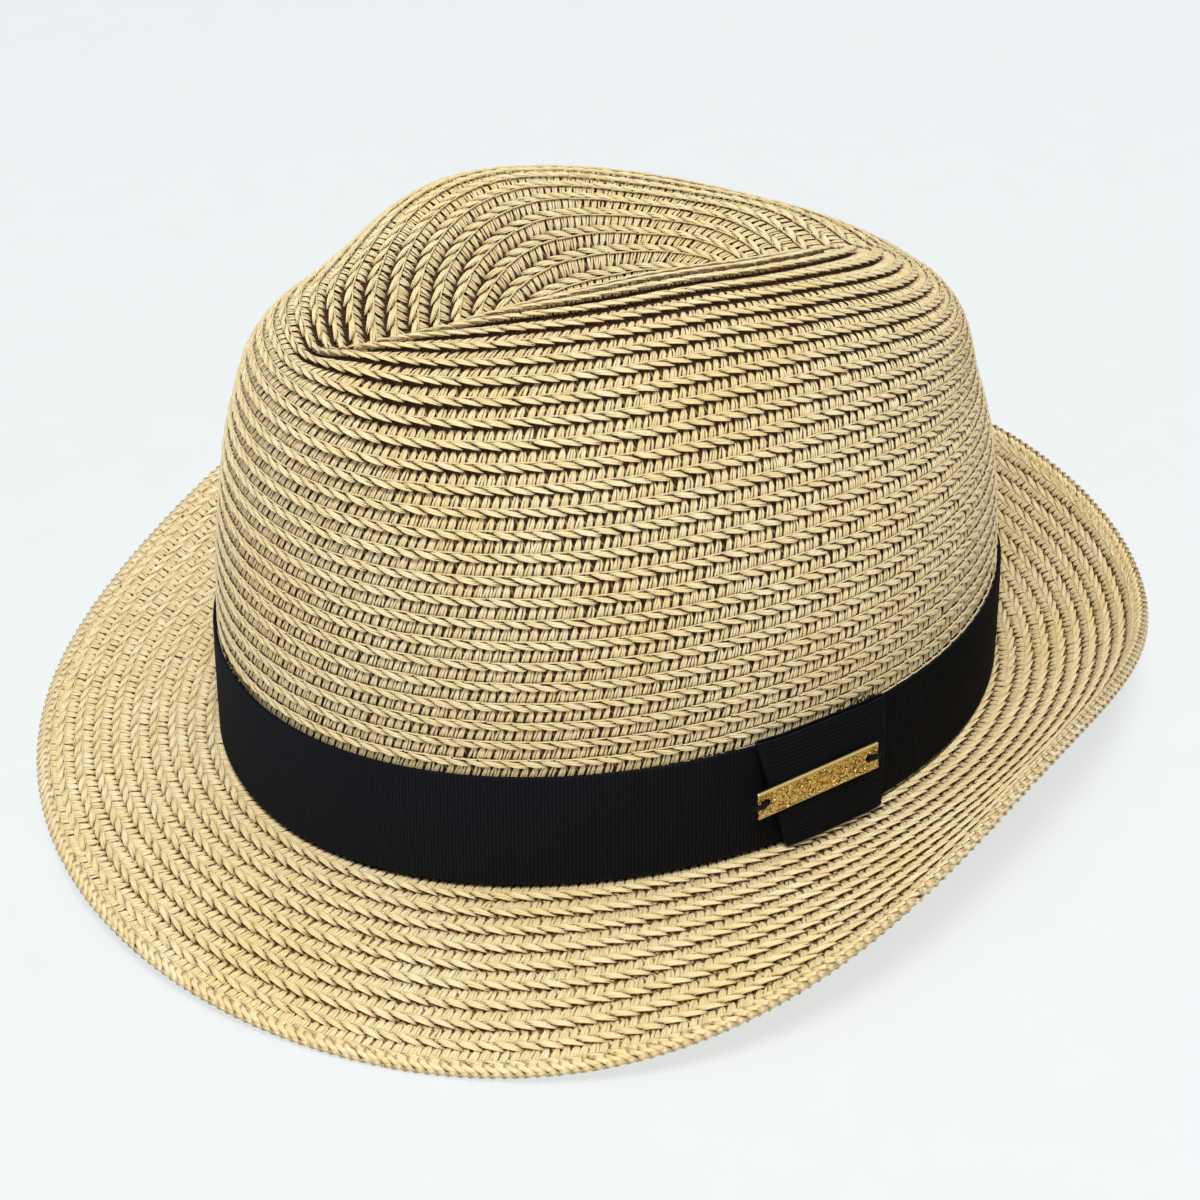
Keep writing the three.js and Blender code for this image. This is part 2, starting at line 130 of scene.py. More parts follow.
def base_height(angle):
    level = BASE_RISE_TO_BACK * np.sin(angle) + BASE_RISE_AT_SIDES * np.cos(2 * angle)
    return level - BASE_DIP * np.cos(angle - BASE_DIP_ANGLE)


def shoulder_swell(angle, share):
    to_back = np.sin(angle)
    most = np.where(to_back > 0, SHOULDER_SWELL_BACK, -SHOULDER_SWELL_FRONT)
    return most * to_back * ease(0.6, 0.9, share) * (1 - ease(0.93, 1, share))


def crown(angle, rise, offset=0.0):
    """Points on the crown's outer face, or `offset` outside it."""
    rise = np.clip(rise, 0, CROWN_RISE - 0.01)
    radius, height = meridian(rise)
    above, below = meridian(rise + 0.5), meridian(rise - 0.5)
    slope, climb = above[0] - below[0], above[1] - below[1]
    length = np.maximum(np.hypot(slope, climb), 1e-6)
    outward, upward = climb / length, -slope / length
    share = height / CROWN_HEIGHT
    radius = radius + shoulder_swell(angle, share)
    y = (radius + EXTRA_LENGTH) * np.sin(angle)
    drop = np.where(y < PEAK_Y, FRONT_DROP, BACK_DROP)
    z = height * (1 - drop * share**2 * ((y - PEAK_Y) / DROP_REACH) ** 2)
    opens = ease(CREASE_FRONT_Y - 20, CREASE_FRONT_Y + 30, y)
    closes = 1 - ease(CREASE_BACK_Y - 60, CREASE_BACK_Y + 40, y)
    side = radius * np.cos(angle)
    z = z - FAR_SINK * share**3 * ease(0, 40, -side) * ease(-30, 50, y)
    x = side * (1 - PINCH_NARROWING * opens * closes * ease(0.3, 1, share))
    half_width = CREASE_HALF_WIDTH * (0.5 + 0.5 * ease(-95, -15, y)) * (1 - 0.4 * ease(10, 80, y))
    crease = np.exp(-((np.abs(x) / half_width) ** CREASE_POWER)) * ease(0.55, 0.95, share)
    crease *= ease(CREASE_FRONT_Y, CREASE_FRONT_Y + 42, y)
    crease *= 1 - ease(CREASE_BACK_Y - 85, CREASE_BACK_Y + 22, y)
    z = z - CREASE_DEPTH * crease
    at_pinch = ((y - PINCH_Y) / PINCH_LENGTH) ** 2 + ((share - PINCH_SHARE) / PINCH_SHARE_SPREAD) ** 2
    press = np.exp(-at_pinch)
    press *= ease(5, 30, np.abs(x))
    z = z - PINCH_SINK * press
    x = x - press * np.where(x > 0, PINCH_LEFT, -PINCH_RIGHT)
    z = z + base_height(angle) * (1 - ease(0, 0.6, share))
    across = outward * offset
    return settled(x + across * np.cos(angle), y + across * np.sin(angle), z + upward * offset) + SHIFT


def brim_width(angle):
    return BRIM_WIDTH - 2.8 * np.sin(angle) + 4.4 * np.cos(2 * angle)


def brim_slope(angle):
    return np.radians(
        16.3
        + 27 * np.sin(angle)
        + 5.9 * np.cos(2 * angle)
        + 6.8 * np.sin(3 * angle)
        + 3.4 * np.cos(4 * angle)
        + 2.2 * np.sin(5 * angle)
        - 2.9 * np.cos(angle)
        + 2.4 * np.sin(2 * angle)
    )


def bare_brim(angle, out, offset=0.0):
    half_length = HALF_WIDTH + EXTRA_LENGTH
    px, py = np.cos(angle) / HALF_WIDTH, np.sin(angle) / half_length
    length = np.hypot(px, py)
    slope, steps = brim_slope(angle), 12
    across, up = 0.0, 0.0
    for i in range(steps):
        local = slope * (0.4 + 1.2 * (i + 0.5) / steps * out / brim_width(angle))
        across = across + np.cos(local) * out / steps
        up = up + np.sin(local) * out / steps
    end = slope * (0.4 + 1.2 * out / brim_width(angle))
    across = across - np.sin(end) * offset
    up = up + np.cos(end) * offset
    return settled(
        HALF_WIDTH * np.cos(angle) + px / length * across,
        half_length * np.sin(angle) + py / length * across,
        base_height(angle) + up,
    )


SHIFT = frame_shift()


def brim(angle, out, offset=0.0):
    return bare_brim(angle, out, offset) + SHIFT


# ---------------- where the rounds of braid run
CROWN_PITCH = 4.95
BRIM_ROUNDS = 9.6
BRIM_ROPE = 1.1
TIP_LEFT_OPEN = 2.6


class CrownRounds:
    """Rounds of braid on the crown. `row` counts rounds up from the foot; 1 round is one pitch."""

    pitch = CROWN_PITCH
    last = (CROWN_RISE - TIP_LEFT_OPEN) / CROWN_PITCH

    @staticmethod
    def at(angle, row, offset=0.0):
        return crown(angle, row * CROWN_PITCH, offset)


class BrimRounds:
    """Rounds of braid on the brim, counted inwards from its edge."""

    pitch = (BRIM_WIDTH - BRIM_ROPE) / BRIM_ROUNDS
    last = BRIM_ROUNDS

    @staticmethod
    def at(angle, row, offset=0.0):
        out = (brim_width(angle) - BRIM_ROPE) * (1 - row / BRIM_ROUNDS)
        return brim(angle, out, offset)


def round_the_hat(count):
    """Evenly spaced angles, as a column."""
    return np.linspace(0, TURN, count, endpoint=False)[:, None]


def travelled(points):
    """Distance run along each path of points, from 0 at its first."""
    steps = np.cumsum(np.linalg.norm(np.diff(points, axis=-2), axis=-1), axis=-1)
    return np.concatenate([np.zeros((*steps.shape[:-1], 1)), steps], axis=-1)


def directions(rounds, angle, row):
    """The point, the unit outward normal, and the lengths of one radian and of one round there."""
    d = 0.004
    here = rounds.at(angle, row)
    along = (rounds.at(angle + d, row) - rounds.at(angle - d, row)) / (2 * d)
    up = (rounds.at(angle, row + d * 5) - rounds.at(angle, row - d * 5)) / (10 * d)
    normal = np.cross(along, up)
    normal /= np.maximum(np.linalg.norm(normal, axis=-1, keepdims=True), 1e-9)
    return here, normal, np.linalg.norm(along, axis=-1), np.linalg.norm(up, axis=-1)


def lay_on(rounds, angle, row, offset):
    """Points `offset` above the rounds' face, measured square to it."""
    here, normal, _, _ = directions(rounds, angle, row)
    return here + normal * offset[..., None]


def units_along(rounds, first, last, unit, level_turns=0.0):
    """Angle, row and length of a radian for each braid unit on a spiral from row `first` to `last`.
    The spiral first runs level for `level_turns`."""
    turns = last - first + level_turns
    t = np.linspace(0, turns, int(turns * 240) + 2)
    rows = first + np.maximum(t - level_turns, 0)
    run = travelled(rounds.at(t * TURN, rows))
    at = np.interp((np.arange(int(run[-1] / unit)) + 0.5) * unit, run, t)
    angle, row = at * TURN, np.interp(at, t, rows)
    _, _, radian, _ = directions(rounds, angle, row)
    return angle, row, np.maximum(radian, 1.0)


def only(units, kept):
    return tuple(u[kept] for u in units)


FOLD_AT_RIDGE = 0.7
FOLD_AT_FRONT = 0.9


def fold_lift(rounds, angle, row):
    """How far the rounds' lower edges stand off where the crown is folded, in millimetres."""
    if rounds is not CrownRounds:
        return np.zeros(len(angle))
    x, y, z = (rounds.at(angle, row) - SHIFT).T
    ridge = np.exp(-(((np.abs(x) - 30) / 13) ** 2)) * ease(-100, -80, y) * (1 - ease(5, 55, y))
    front = np.exp(-(((y + 82) / 18) ** 2)) * ease(70, 90, z)
    return FOLD_AT_RIDGE * ridge * ease(92, 106, z) + FOLD_AT_FRONT * front


# ---------------- strands
MOST_FACES = 180000


class Strands:
    """Collects closed straw strands, each a tube given by stations in braid coordinates."""

    def __init__(self):
        self.parts = []

    def add(self, rounds, units, path, width, depth, sides=6, tone=0.0, deep=0.0, side=1.0):
        """`path` is (n, stations, 3): millimetres along the round, up it, and out of it.
        `width` and `depth` are (stations,) or (n, stations) half-sizes of the section."""
        angle, row, radian = units
        n, stations, _ = path.shape
        width = np.broadcast_to(width, (n, stations))
        depth = np.broadcast_to(depth, (n, stations))
        along = np.gradient(path, axis=1)
        flat = along[..., :2] / np.maximum(np.linalg.norm(along[..., :2], axis=-1, keepdims=True), 1e-6)
        across = np.stack([-flat[..., 1], flat[..., 0]], axis=-1)
        turn = np.arange(sides) / sides * TURN + TURN / (4 * sides)
        ring = np.empty((n, stations, sides, 3))
        for k in range(2):
            ring[..., k] = path[..., k, None] + across[..., k, None] * width[..., None] * np.cos(turn)
        ring[..., 2] = path[..., 2, None] + depth[..., None] * np.sin(turn)
        ahead = ring[..., 0] / radian[:, None, None]
        rows = row[:, None, None] + ahead / TURN + ring[..., 1] / rounds.pitch
        out = ring[..., 2] * side - (side < 0) * BRAID_THICKNESS
        points = lay_on(rounds, angle[:, None, None] + ahead, rows, out)
        tone, deep = np.broadcast_to(tone, (n,)), np.broadcast_to(deep, (n,))
        self.parts.append((points, travelled(path), tone, deep, side))

    def pieces(self, name):
        """Mesh objects of whole strands, each under MOST_FACES triangles."""
        made, group, faces = [], [], 0
        for part in self.parts:
            n, stations, sides, _ = part[0].shape
            each = sides * (stations - 1) * 2 + 2 * (sides - 2)
            start = 0
            while start < n:
                room = max(1, (MOST_FACES - faces) // each)
                end = min(n, start + room)
                group.append((*(p[start:end] for p in part[:-1]), part[-1]))
                faces += (end - start) * each
                start = end
                if faces + each > MOST_FACES:
                    made.append(strand_object(f"{name}_{len(made) + 1}", group))
                    group, faces = [], 0
        if group:
            made.append(strand_object(f"{name}_{len(made) + 1}", group))
        return made


def strand_object(name, group):
    """One mesh from strands, with fibre and bake maps, a random tone per strand, and painted shade on deep
    strands and towards strand ends.
    """
    vertices, quads, fibre_uv, tones, corner_cell, caps = [], [], [], [], [], []
    base, cell = 0, 0
    for points, length, tone, deep, side in group:
        n, stations, sides, _ = points.shape
        vertices.append(points.reshape(-1, 3))
        index = base + np.arange(n * stations * sides).reshape(n, stations, sides)
        a, b = index[:, :-1, :], index[:, 1:, :]
        c, d = np.roll(b, -1, axis=2), np.roll(a, -1, axis=2)
        quads.append(np.stack([a, d, c, b] if side > 0 else [a, b, c, d], axis=-1).reshape(-1, 4))
        span = (n, stations - 1, sides)
        around = np.arange(sides + 1) / sides
        v0, v1 = np.broadcast_to(around[:-1], span), np.broadcast_to(around[1:], span)
        u0, u1 = np.broadcast_to(length[:, :-1, None], span), np.broadcast_to(length[:, 1:, None], span)
        which = cell + np.broadcast_to(np.arange(n)[:, None, None], span)
        order = [(u0, v0), (u0, v1), (u1, v1), (u1, v0)]
        if side < 0:
            order = [order[0], order[3], order[2], order[1]]
        fibre_uv.append(np.stack([np.stack(corner, -1) for corner in order], axis=3).reshape(-1, 4, 2))
        shares = [np.stack([u / length[:, -1, None, None], v, which], -1) for u, v in order]
        corner_cell.append(np.stack(shares, axis=3).reshape(-1, 4, 3))
        colour = np.zeros((n, stations, sides, 4))
        colour[..., 0] = np.asarray(tone)[:, None, None]
        # Green: painted shade for strands that lie deep in the gaps.
        colour[..., 1] = np.asarray(deep)[:, None, None]
        # Blue: painted shade towards both ends of each strand, where the ends tuck under other straw.
        ends = length / length[:, -1:]
        colour[..., 2] = (np.abs(ends * 2 - 1) ** 3)[..., None]
        colour[..., 3] = 1
        tones.append(colour.reshape(-1, 4))
        for ring, flip in ((index[:, 0], side > 0), (index[:, -1], side < 0)):
            caps.append((ring[:, ::-1] if flip else ring, cell))
        base += n * stations * sides
        cell += n
    vertices = np.concatenate(vertices)
    quads = np.concatenate(quads)
    cap_loops = [ring for rings, _ in caps for ring in rings]
    cap_cells = np.concatenate([start + np.arange(len(rings)) for rings, start in caps])
    loops = np.concatenate([quads.reshape(-1)] + cap_loops)
    sizes = np.concatenate([np.full(len(quads), 4), [len(ring) for ring in cap_loops]])
    columns = math.ceil(math.sqrt(cell))
    fibre = np.concatenate([np.concatenate(fibre_uv).reshape(-1, 2), np.zeros((len(loops) - quads.size, 2))])
    cells = np.concatenate(corner_cell).reshape(-1, 3)
    cap_of_loop = np.repeat(cap_cells, [len(ring) for ring in cap_loops])
    which = np.concatenate([cells[:, 2], cap_of_loop])
    inside = np.concatenate([cells[:, :2], np.full((len(cap_of_loop), 2), 0.5)])
    fibre = fibre * [0.35, 1.0] + np.stack([which * 7.31 % 61, which * 3.77 % 53], axis=-1)
    bake = (np.stack([which % columns, which // columns], -1) + 0.08 + 0.84 * inside) / columns
    mesh = mesh_from(name, vertices, loops, sizes)
    add_map(mesh, "Fibre", fibre)
    add_map(mesh, "OFBake", bake)
    colour = mesh.color_attributes.new("Strand", "FLOAT_COLOR", "POINT")
    colour.data.foreach_set("color", packed(np.concatenate(tones)))
    return object_from(mesh)


def packed(values):
    return np.asarray(values, np.float32).ravel()


def add_map(mesh, name, corners):
    mesh.uv_layers.new(name=name).data.foreach_set("uv", packed(corners))


def mesh_from(name, vertices, loops, sizes):
    """A smooth-shaded mesh from millimetre points and polygon corners."""
    mesh = bpy.data.meshes.new(name)
    mesh.vertices.add(len(vertices))
    mesh.vertices.foreach_set("co", packed(np.asarray(vertices) * MM))
    mesh.loops.add(len(loops))
    mesh.loops.foreach_set("vertex_index", np.asarray(loops, np.int32))
    mesh.polygons.add(len(sizes))
    starts = np.concatenate([[0], np.cumsum(sizes)[:-1]])
    mesh.polygons.foreach_set("loop_start", starts.astype(np.int32))
    mesh.polygons.foreach_set("use_smooth", np.ones(len(sizes), bool))
    mesh.update(calc_edges=True)
    return mesh


def object_from(mesh):
    piece = bpy.data.objects.new(mesh.name, mesh)
    bpy.context.collection.objects.link(piece)
    return piece


def grid_object(name, grid, uv_scale):
    """A mesh from a (columns, rows, 3) grid of millimetre points closed both ways, with a UV map."""
    columns, rows, _ = grid.shape
    a = np.arange(columns * rows).reshape(columns, rows)
    b = np.roll(a, -1, axis=0)
    a2, b2 = np.roll(a, -1, axis=1), np.roll(b, -1, axis=1)
    quads = np.stack([a, b, b2, a2], axis=-1).reshape(-1, 4)
    mesh = mesh_from(name, grid.reshape(-1, 3), quads.ravel(), np.full(len(quads), 4))
    u, v = np.meshgrid(np.arange(columns), np.arange(rows), indexing="ij")
    corners = [(u, v), (u + 1, v), (u + 1, v + 1), (u, v + 1)]
    uv = np.stack([np.stack([p * uv_scale[0] / columns, q * uv_scale[1] / rows], -1) for p, q in corners], 2)
    add_map(mesh, "Fibre", uv)
    return object_from(mesh)


def shell(name, outside, inside, uv_scale):
    """A closed layer between two matching grids that run round the hat."""
    return grid_object(name, np.concatenate([outside, inside[:, ::-1]], axis=1), uv_scale)


def noise(n, spread):
    return rng.normal(0, spread, n)


def stations(*points):
    return np.array(points, float)


def braid(strands, rounds, units, style):
    """Lays one straw braid on the rounds: an edge chain over a lattice. Each round's lower edge
    lies on the round below, and its upper edge is tucked under the round above."""
    n = len(units[0])
    tall, unit, high, outer = rounds.pitch, style["unit"], style["chain"], style["lift"]
    tone = rng.random(n)
    wobble = noise(n, 0.12)
    fold = fold_lift(rounds, units[0], units[1])

    def laid(shape, jitter=0.1):
        path = np.repeat(shape[None], n, axis=0)
        path[..., 0] += wobble[:, None] + noise((n, 1), jitter)
        path[..., 1] += noise((n, 1), jitter * 0.6)
        path[..., 2] += noise((n, 1), 0.05)
        path[..., 0] += noise((n, 1), jitter) * np.linspace(-1, 1, shape.shape[0])
        path[..., 2] += fold[:, None] * np.clip(1 - path[..., 1] / tall, 0, 1.2)
        return path

    for u0, h0, size in ((-0.17, 0.76, 0.92), (0.0, 0.50, 1.0), (0.17, 0.24, 0.92)):
        for twin in (-1, 1):
            apart = twin * high * style["leaf"] * 0.8 * size
            leaf = stations(
                (unit * (u0 - 0.60), high * (h0 + 0.34) + apart * 0.4, outer - 0.60),
                (unit * (u0 - 0.43), high * (h0 + 0.28) + apart, outer - 0.12),
                (unit * (u0 - 0.12), high * (h0 + 0.10) + apart, outer),
                (unit * (u0 + 0.20), high * (h0 - 0.08) + apart, outer - 0.04),
                (unit * (u0 + 0.46), high * (h0 - 0.20) + apart, outer - 0.26),
                (unit * (u0 + 0.60), high * (h0 - 0.26) + apart * 0.4, outer - 0.60),
            )
            wide = np.array([0.60, 0.95, 1.05, 0.98, 0.70, 0.30]) * high * style["leaf"] * size
            shade = rng.random(n) * 0.5 + tone * 0.5
            strands.add(rounds, units, laid(leaf, 0.07), wide, wide * 1.2, 5, tone=shade)
    low, top = high + style["thread_room"], tall + style["reach"]
    lean, sink = style["lean"], style["sink"]
    for half in (-0.25, 0.25):
        for k in (-1, 0, 1):
            u0, spread = unit * half, k * unit * style["spread"]
            body = stations(
                (u0 + spread - lean * 0.5, low - 0.8, outer - sink * 1.4),
                (u0 + spread - lean * 0.35, low + 0.05, outer - sink * 0.9),
                (u0 + spread * 0.9 + lean * 0.1, low + (top - low) * 0.45, outer - sink),
                (u0 + spread * 0.55 + lean * 0.35, top - 0.75, outer - sink * 1.35),
                (u0 + spread * 0.35 + lean * 0.5, top, outer - sink * 2),
            )
            wide = np.array([0.95, 1.1, 1.02, 0.85, 0.4]) * unit * style["lattice"]
            # Lattice strands get a faint painted shade (deep=0.03).
            strands.add(rounds, units, laid(body, 0.1), wide, wide * 0.8, 5, tone=rng.random(n), deep=0.03)
        # A thin strand deep in the gap, darkened by painted shade (deep=0.7).
        deep_u = unit * (half + 0.25)
        deep = stations(
            (deep_u + 0.6, low + 0.2, outer - sink * 1.7),
            (deep_u, low + 1.2, outer - sink * 1.55),
            (deep_u - 0.7, top, outer - sink * 2),
        )
        strands.add(rounds, units, laid(deep, 0.25), 0.27, 0.22, 5, tone=rng.random(n), deep=0.7)


def sewing(strands, rounds, units, style):
    """Straight stitches of sewing thread that dip into the straw at their ends."""
    n, half = len(units[0]), style["stitch"] / 2
    h, top = style["chain"] + 0.24, style["lift"] + style["thread_up"]
    shape = stations(
        (-half * 1.01, h - 0.1, top - 0.9),
        (-half * 0.90, h, top - 0.1),
        (0, h + 0.05, top),
        (half * 0.90, h, top - 0.1),
        (half * 1.01, h - 0.1, top - 0.9),
    )
    path = np.repeat(shape[None], n, axis=0)
    path[..., 1] += noise((n, 1), 0.08)
    fold = fold_lift(rounds, units[0], units[1])
    path[..., 2] += (fold * (1 - h / rounds.pitch))[:, None]
    strands.add(rounds, units, path, style["thread"], style["thread"], 6, tone=rng.random(n))


CROWN_STYLE = {
    "unit": 4.4, "chain": 1.6, "thread_room": 0.42, "lean": 0.95, "lift": -0.18, "sink": 0.92,
    "lattice": 0.063, "leaf": 0.135, "spread": 0.135, "reach": 0.1, "stitch": 5.9, "thread": 0.2,
    "thread_up": 0.04,
}
BRIM_STYLE = {
    "unit": 4.6, "chain": 1.8, "thread_room": 0.25, "lean": 1.1, "lift": -0.16, "sink": 0.5,
    "lattice": 0.084, "leaf": 0.15, "spread": 0.155, "reach": 0.1, "stitch": 6.4, "thread": 0.17,
    "thread_up": -0.08,
}


# ---------------- materials
def linear(red, green, blue):
    def one(c):
        c /= 255
        return c / 12.92 if c <= 0.04045 else ((c + 0.055) / 1.055) ** 2.4

    return (one(red), one(green), one(blue), 1)


class Nodes:
    """A short way to write a material's node tree."""

    def __init__(self, name):
        self.material = bpy.data.materials.new(name)
        self.material.use_nodes = True
        self.tree = self.material.node_tree
        self.surface = self.tree.nodes["Principled BSDF"]

    def add(self, kind, **settings):
        node = self.tree.nodes.new(kind)
        for key, value in settings.items():
            setattr(node, key, value)
        return node

    def feed(self, node, values):
        """Gives each of a node's sockets a value, or another node's output."""
        for key, value in values.items():
            socket = node.inputs[key]
            if hasattr(value, "links"):
                self.tree.links.new(value, socket)
            else:
                socket.default_value = value
        return node.outputs

    def set(self, **values):
        self.feed(self.surface, {key.replace("_", " "): value for key, value in values.items()})

    def math(self, operation, a, b=0.0):
        return self.feed(self.add("ShaderNodeMath", operation=operation), {0: a, 1: b})[0]

    def scaled(self, value, factor, plus):
        return self.math("ADD", self.math("MULTIPLY", value, factor), plus)

    def mix(self, share, a, b):
        return self.feed(self.add("ShaderNodeMix", data_type="RGBA"), {0: share, 6: a, 7: b})[2]

    def tint(self, body, share, amount, colour):
        return self.mix(self.math("MULTIPLY", share, amount), body, colour)

    def noise(self, vector, scale, detail=2.0, rough=0.5):
        values = {"Vector": vector, "Scale": scale, "Detail": detail, "Roughness": rough}
        return self.feed(self.add("ShaderNodeTexNoise"), values)["Fac"]

    def wave(self, vector, direction, scale, distortion):
        node = self.add("ShaderNodeTexWave", wave_type="BANDS", bands_direction=direction)
        return self.feed(node, {"Vector": vector, "Scale": scale, "Distortion": distortion})["Fac"]

    def stretch(self, vector, scale):
        return self.feed(self.add("ShaderNodeMapping"), {"Vector": vector, "Scale": scale})["Vector"]

    def axis(self, vector, which):
        return self.feed(self.add("ShaderNodeSeparateXYZ"), {0: vector})[which]

    def uv(self):
        return self.add("ShaderNodeUVMap", uv_map="Fibre").outputs["UV"]

    def place(self):
        return self.add("ShaderNodeTexCoord").outputs["Object"]

    def ramp(self, value, low, high):
        values = {"Value": value, "From Min": low, "From Max": high}
        return self.feed(self.add("ShaderNodeMapRange"), values)[0]

    def bump(self, height, strength, distance):
        values = {"Height": height, "Strength": strength, "Distance": distance}
        self.set(Normal=self.feed(self.add("ShaderNodeBump"), values)["Normal"])


def straw_material():
    n = Nodes("Straw")
    strand = n.add("ShaderNodeVertexColor", layer_name="Strand")
    parts = n.feed(n.add("ShaderNodeSeparateColor"), {"Color": strand.outputs["Color"]})
    tone, deep, ends = parts[0], parts[1], parts[2]
    streak = n.noise(n.stretch(n.uv(), (0.9, 9.0, 1.0)), 1.6, 3.0, 0.6)
    patch = n.noise(n.place(), 22.0, 2.0)
    body = n.mix(tone, linear(236, 216, 162), linear(252, 240, 204))
    body = n.tint(body, n.ramp(patch, 0.42, 0.72), 0.6, linear(242, 216, 150))
    body = n.tint(body, n.ramp(streak, 0.45, 0.75), 0.5, linear(206, 170, 104))
    # Painted shade: strand ends, tucked under other straw, are tinted brown.
    body = n.tint(body, ends, 0.5, linear(150, 104, 42))
    # Painted shade: deep strands are mixed towards dark brown.
    body = n.mix(deep, body, linear(88, 60, 26))
    rough = n.scaled(streak, 0.25, 0.42)
    n.set(Base_Color=body, Roughness=rough, Sheen_Weight=0.12, Specular_IOR_Level=0.42)
    n.bump(streak, 0.35, 0.00025)
    return n.material


PLY_SCALE = 14.0


def thread_material(name, light, dark, sheen=0.25):
    n = Nodes(name)
    ply = n.wave(n.uv(), "DIAGONAL", PLY_SCALE, 1.5)
    colour = n.mix(n.math("MULTIPLY", ply, n.noise(n.place(), 300.0)), dark, light)
    n.set(Base_Color=colour, Roughness=0.7, Sheen_Weight=sheen, Specular_IOR_Level=0.25)
    n.bump(ply, 0.4, 0.0002)
    return n.material


BACKING_MAP_HEIGHT = 60.0


def inner_straw_material(name, dark, light):
    """Straw behind the strands: the face seen through gaps in the braid is painted dark as shade; the side
    that faces inwards is pale straw.
    """
    n = Nodes(name)
    weave = n.wave(n.uv(), "DIAGONAL", 1.0, 2.0)
    grain = n.noise(n.place(), 900.0, 3.0, 0.7)
    pattern = n.math("MULTIPLY", weave, grain)
    seen_inside = n.math("GREATER_THAN", n.axis(n.uv(), 1), BACKING_MAP_HEIGHT / 2)
    inside_straw = n.mix(pattern, linear(186, 156, 102), linear(232, 210, 160))
    # Painted shade: the face seen through the gaps gets the dark colours, the inner face pale straw.
    colour = n.mix(seen_inside, n.mix(pattern, dark, light), inside_straw)
    n.set(Base_Color=colour, Roughness=0.85)
    n.bump(n.math("ADD", grain, weave), 0.8, 0.0006)
    return n.material


def ribbon_material(name, sheen, rib, along=0):
    """Grosgrain: fine ribs `rib` apart on one axis of the map, close to black with a blue cast, with a
    painted highlight along the top of each rib.
    """
    n = Nodes(name)
    place = n.place()
    painted_rib_highlight = n.ramp(n.math("SINE", n.math("MULTIPLY", n.axis(n.uv(), along), TURN / rib)), -0.2, 1.0)
    weave = n.noise(place, 2600.0, 2.0, 0.6)
    fibre = n.noise(n.stretch(place, (1.0, 1.0, 0.2)), 1400.0, 2.0)
    patch = n.noise(place, 28.0, 2.0)
    colour = n.mix(n.math("MULTIPLY", weave, fibre), linear(3, 4, 7), linear(15, 18, 27))
    colour = n.tint(colour, n.ramp(patch, 0.4, 0.8), 0.3, linear(8, 10, 16))
    # Painted highlight: the top of each rib is tinted lighter.
    colour = n.tint(colour, painted_rib_highlight, 0.5, linear(29, 32, 42))
    n.set(Base_Color=colour, Roughness=n.scaled(weave, 0.25, 0.5))
    n.set(Sheen_Weight=sheen, Sheen_Roughness=0.45, Sheen_Tint=linear(120, 135, 165), Specular_IOR_Level=0.09)
    n.bump(n.math("ADD", weave, fibre), 0.35, 0.00012)
    return n.material


PLATE_MAP_MIDDLE = 13.75


def gold_material():
    n = Nodes("Hammered_gold")
    place = n.place()
    scratch = n.noise(n.stretch(place, (1.0, 0.15, 1.0)), 5200.0, 3.0, 0.6)
    from_middle = n.math("ABSOLUTE", n.math("SUBTRACT", n.axis(n.uv(), 1), PLATE_MAP_MIDDLE))
    rim = n.ramp(from_middle, PLATE_MAP_MIDDLE * 0.84, PLATE_MAP_MIDDLE * 0.89)
    worm = n.math("ABSOLUTE", n.math("SUBTRACT", n.noise(place, 800.0, 1.0), 0.5))
    raised = n.math("MAXIMUM", n.ramp(worm, 0.01, 0.07), rim)
    colour = n.mix(raised, linear(150, 104, 38), linear(255, 230, 156))
    rough = n.scaled(rim, 0.22, n.scaled(scratch, 0.12, 0.14))
    n.set(Base_Color=colour, Roughness=rough, Metallic=1.0)
    n.bump(n.scaled(scratch, 0.1, raised), 0.6, 0.0003)
    return n.material


def tape_material(name, light, dark):
    n = Nodes(name)
    place = n.place()
    weave = n.wave(place, "Z", 420.0, 0.6)
    grain = n.noise(place, 1500.0, 3.0, 0.7)
    patch = n.noise(place, 24.0)
    colour = n.mix(n.math("MULTIPLY", weave, grain), dark, light)
    colour = n.tint(colour, n.ramp(patch, 0.45, 0.8), 0.25, dark)
    n.set(Base_Color=colour, Roughness=0.85, Sheen_Weight=0.2)
    n.bump(n.math("ADD", weave, grain), 0.5, 0.0003)
    return n.material


def floor_material():
    n = Nodes("Floor_paint")
    paint = n.mix(n.noise(n.place(), 60.0, 2.0), linear(128, 131, 134), linear(134, 137, 140))
    n.set(Base_Color=paint, Roughness=0.9, Specular_IOR_Level=0.1)
    n.set(Emission_Color=linear(207, 211, 212), Emission_Strength=1.0)
    return n.material


STRAW = straw_material()
SEWING_THREAD = thread_material("Sewing_thread", linear(255, 244, 206), linear(232, 212, 160))
# The dark and light colours given here are painted shade for the backing's face seen through gaps in the
# braid.
INNER_STRAW = inner_straw_material("Inner_straw_painted_shade", linear(54, 36, 16), linear(108, 78, 38))
BRIM_INNER_STRAW = inner_straw_material("Brim_inner_straw_painted_shade", linear(96, 62, 24), linear(168, 124, 62))
BAND_RIBBON = ribbon_material("Band_grosgrain", 0.01, 0.8333)
BOW_RIBBON = ribbon_material("Bow_grosgrain", 0.015, 1.0186, along=1)
GOLD = gold_material()
BLACK_THREAD = thread_material("Black_thread", linear(14, 15, 20), linear(3, 4, 6), sheen=0.0)
SWEATBAND_TAPE = tape_material("Sweatband_tape", linear(226, 216, 188), linear(176, 160, 124))
LABEL_TAPE = tape_material("Label_tape", linear(244, 240, 230), linear(214, 208, 192))


def finish_piece(piece, material, nodes):
    piece.data.materials.append(material)
    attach(piece, "root")
    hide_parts(*nodes)
    return piece


# ---------------- straw braid
BAND_COVERS = (1.25, 5.1)
WALL_RISE = 0.47 * CROWN_RISE


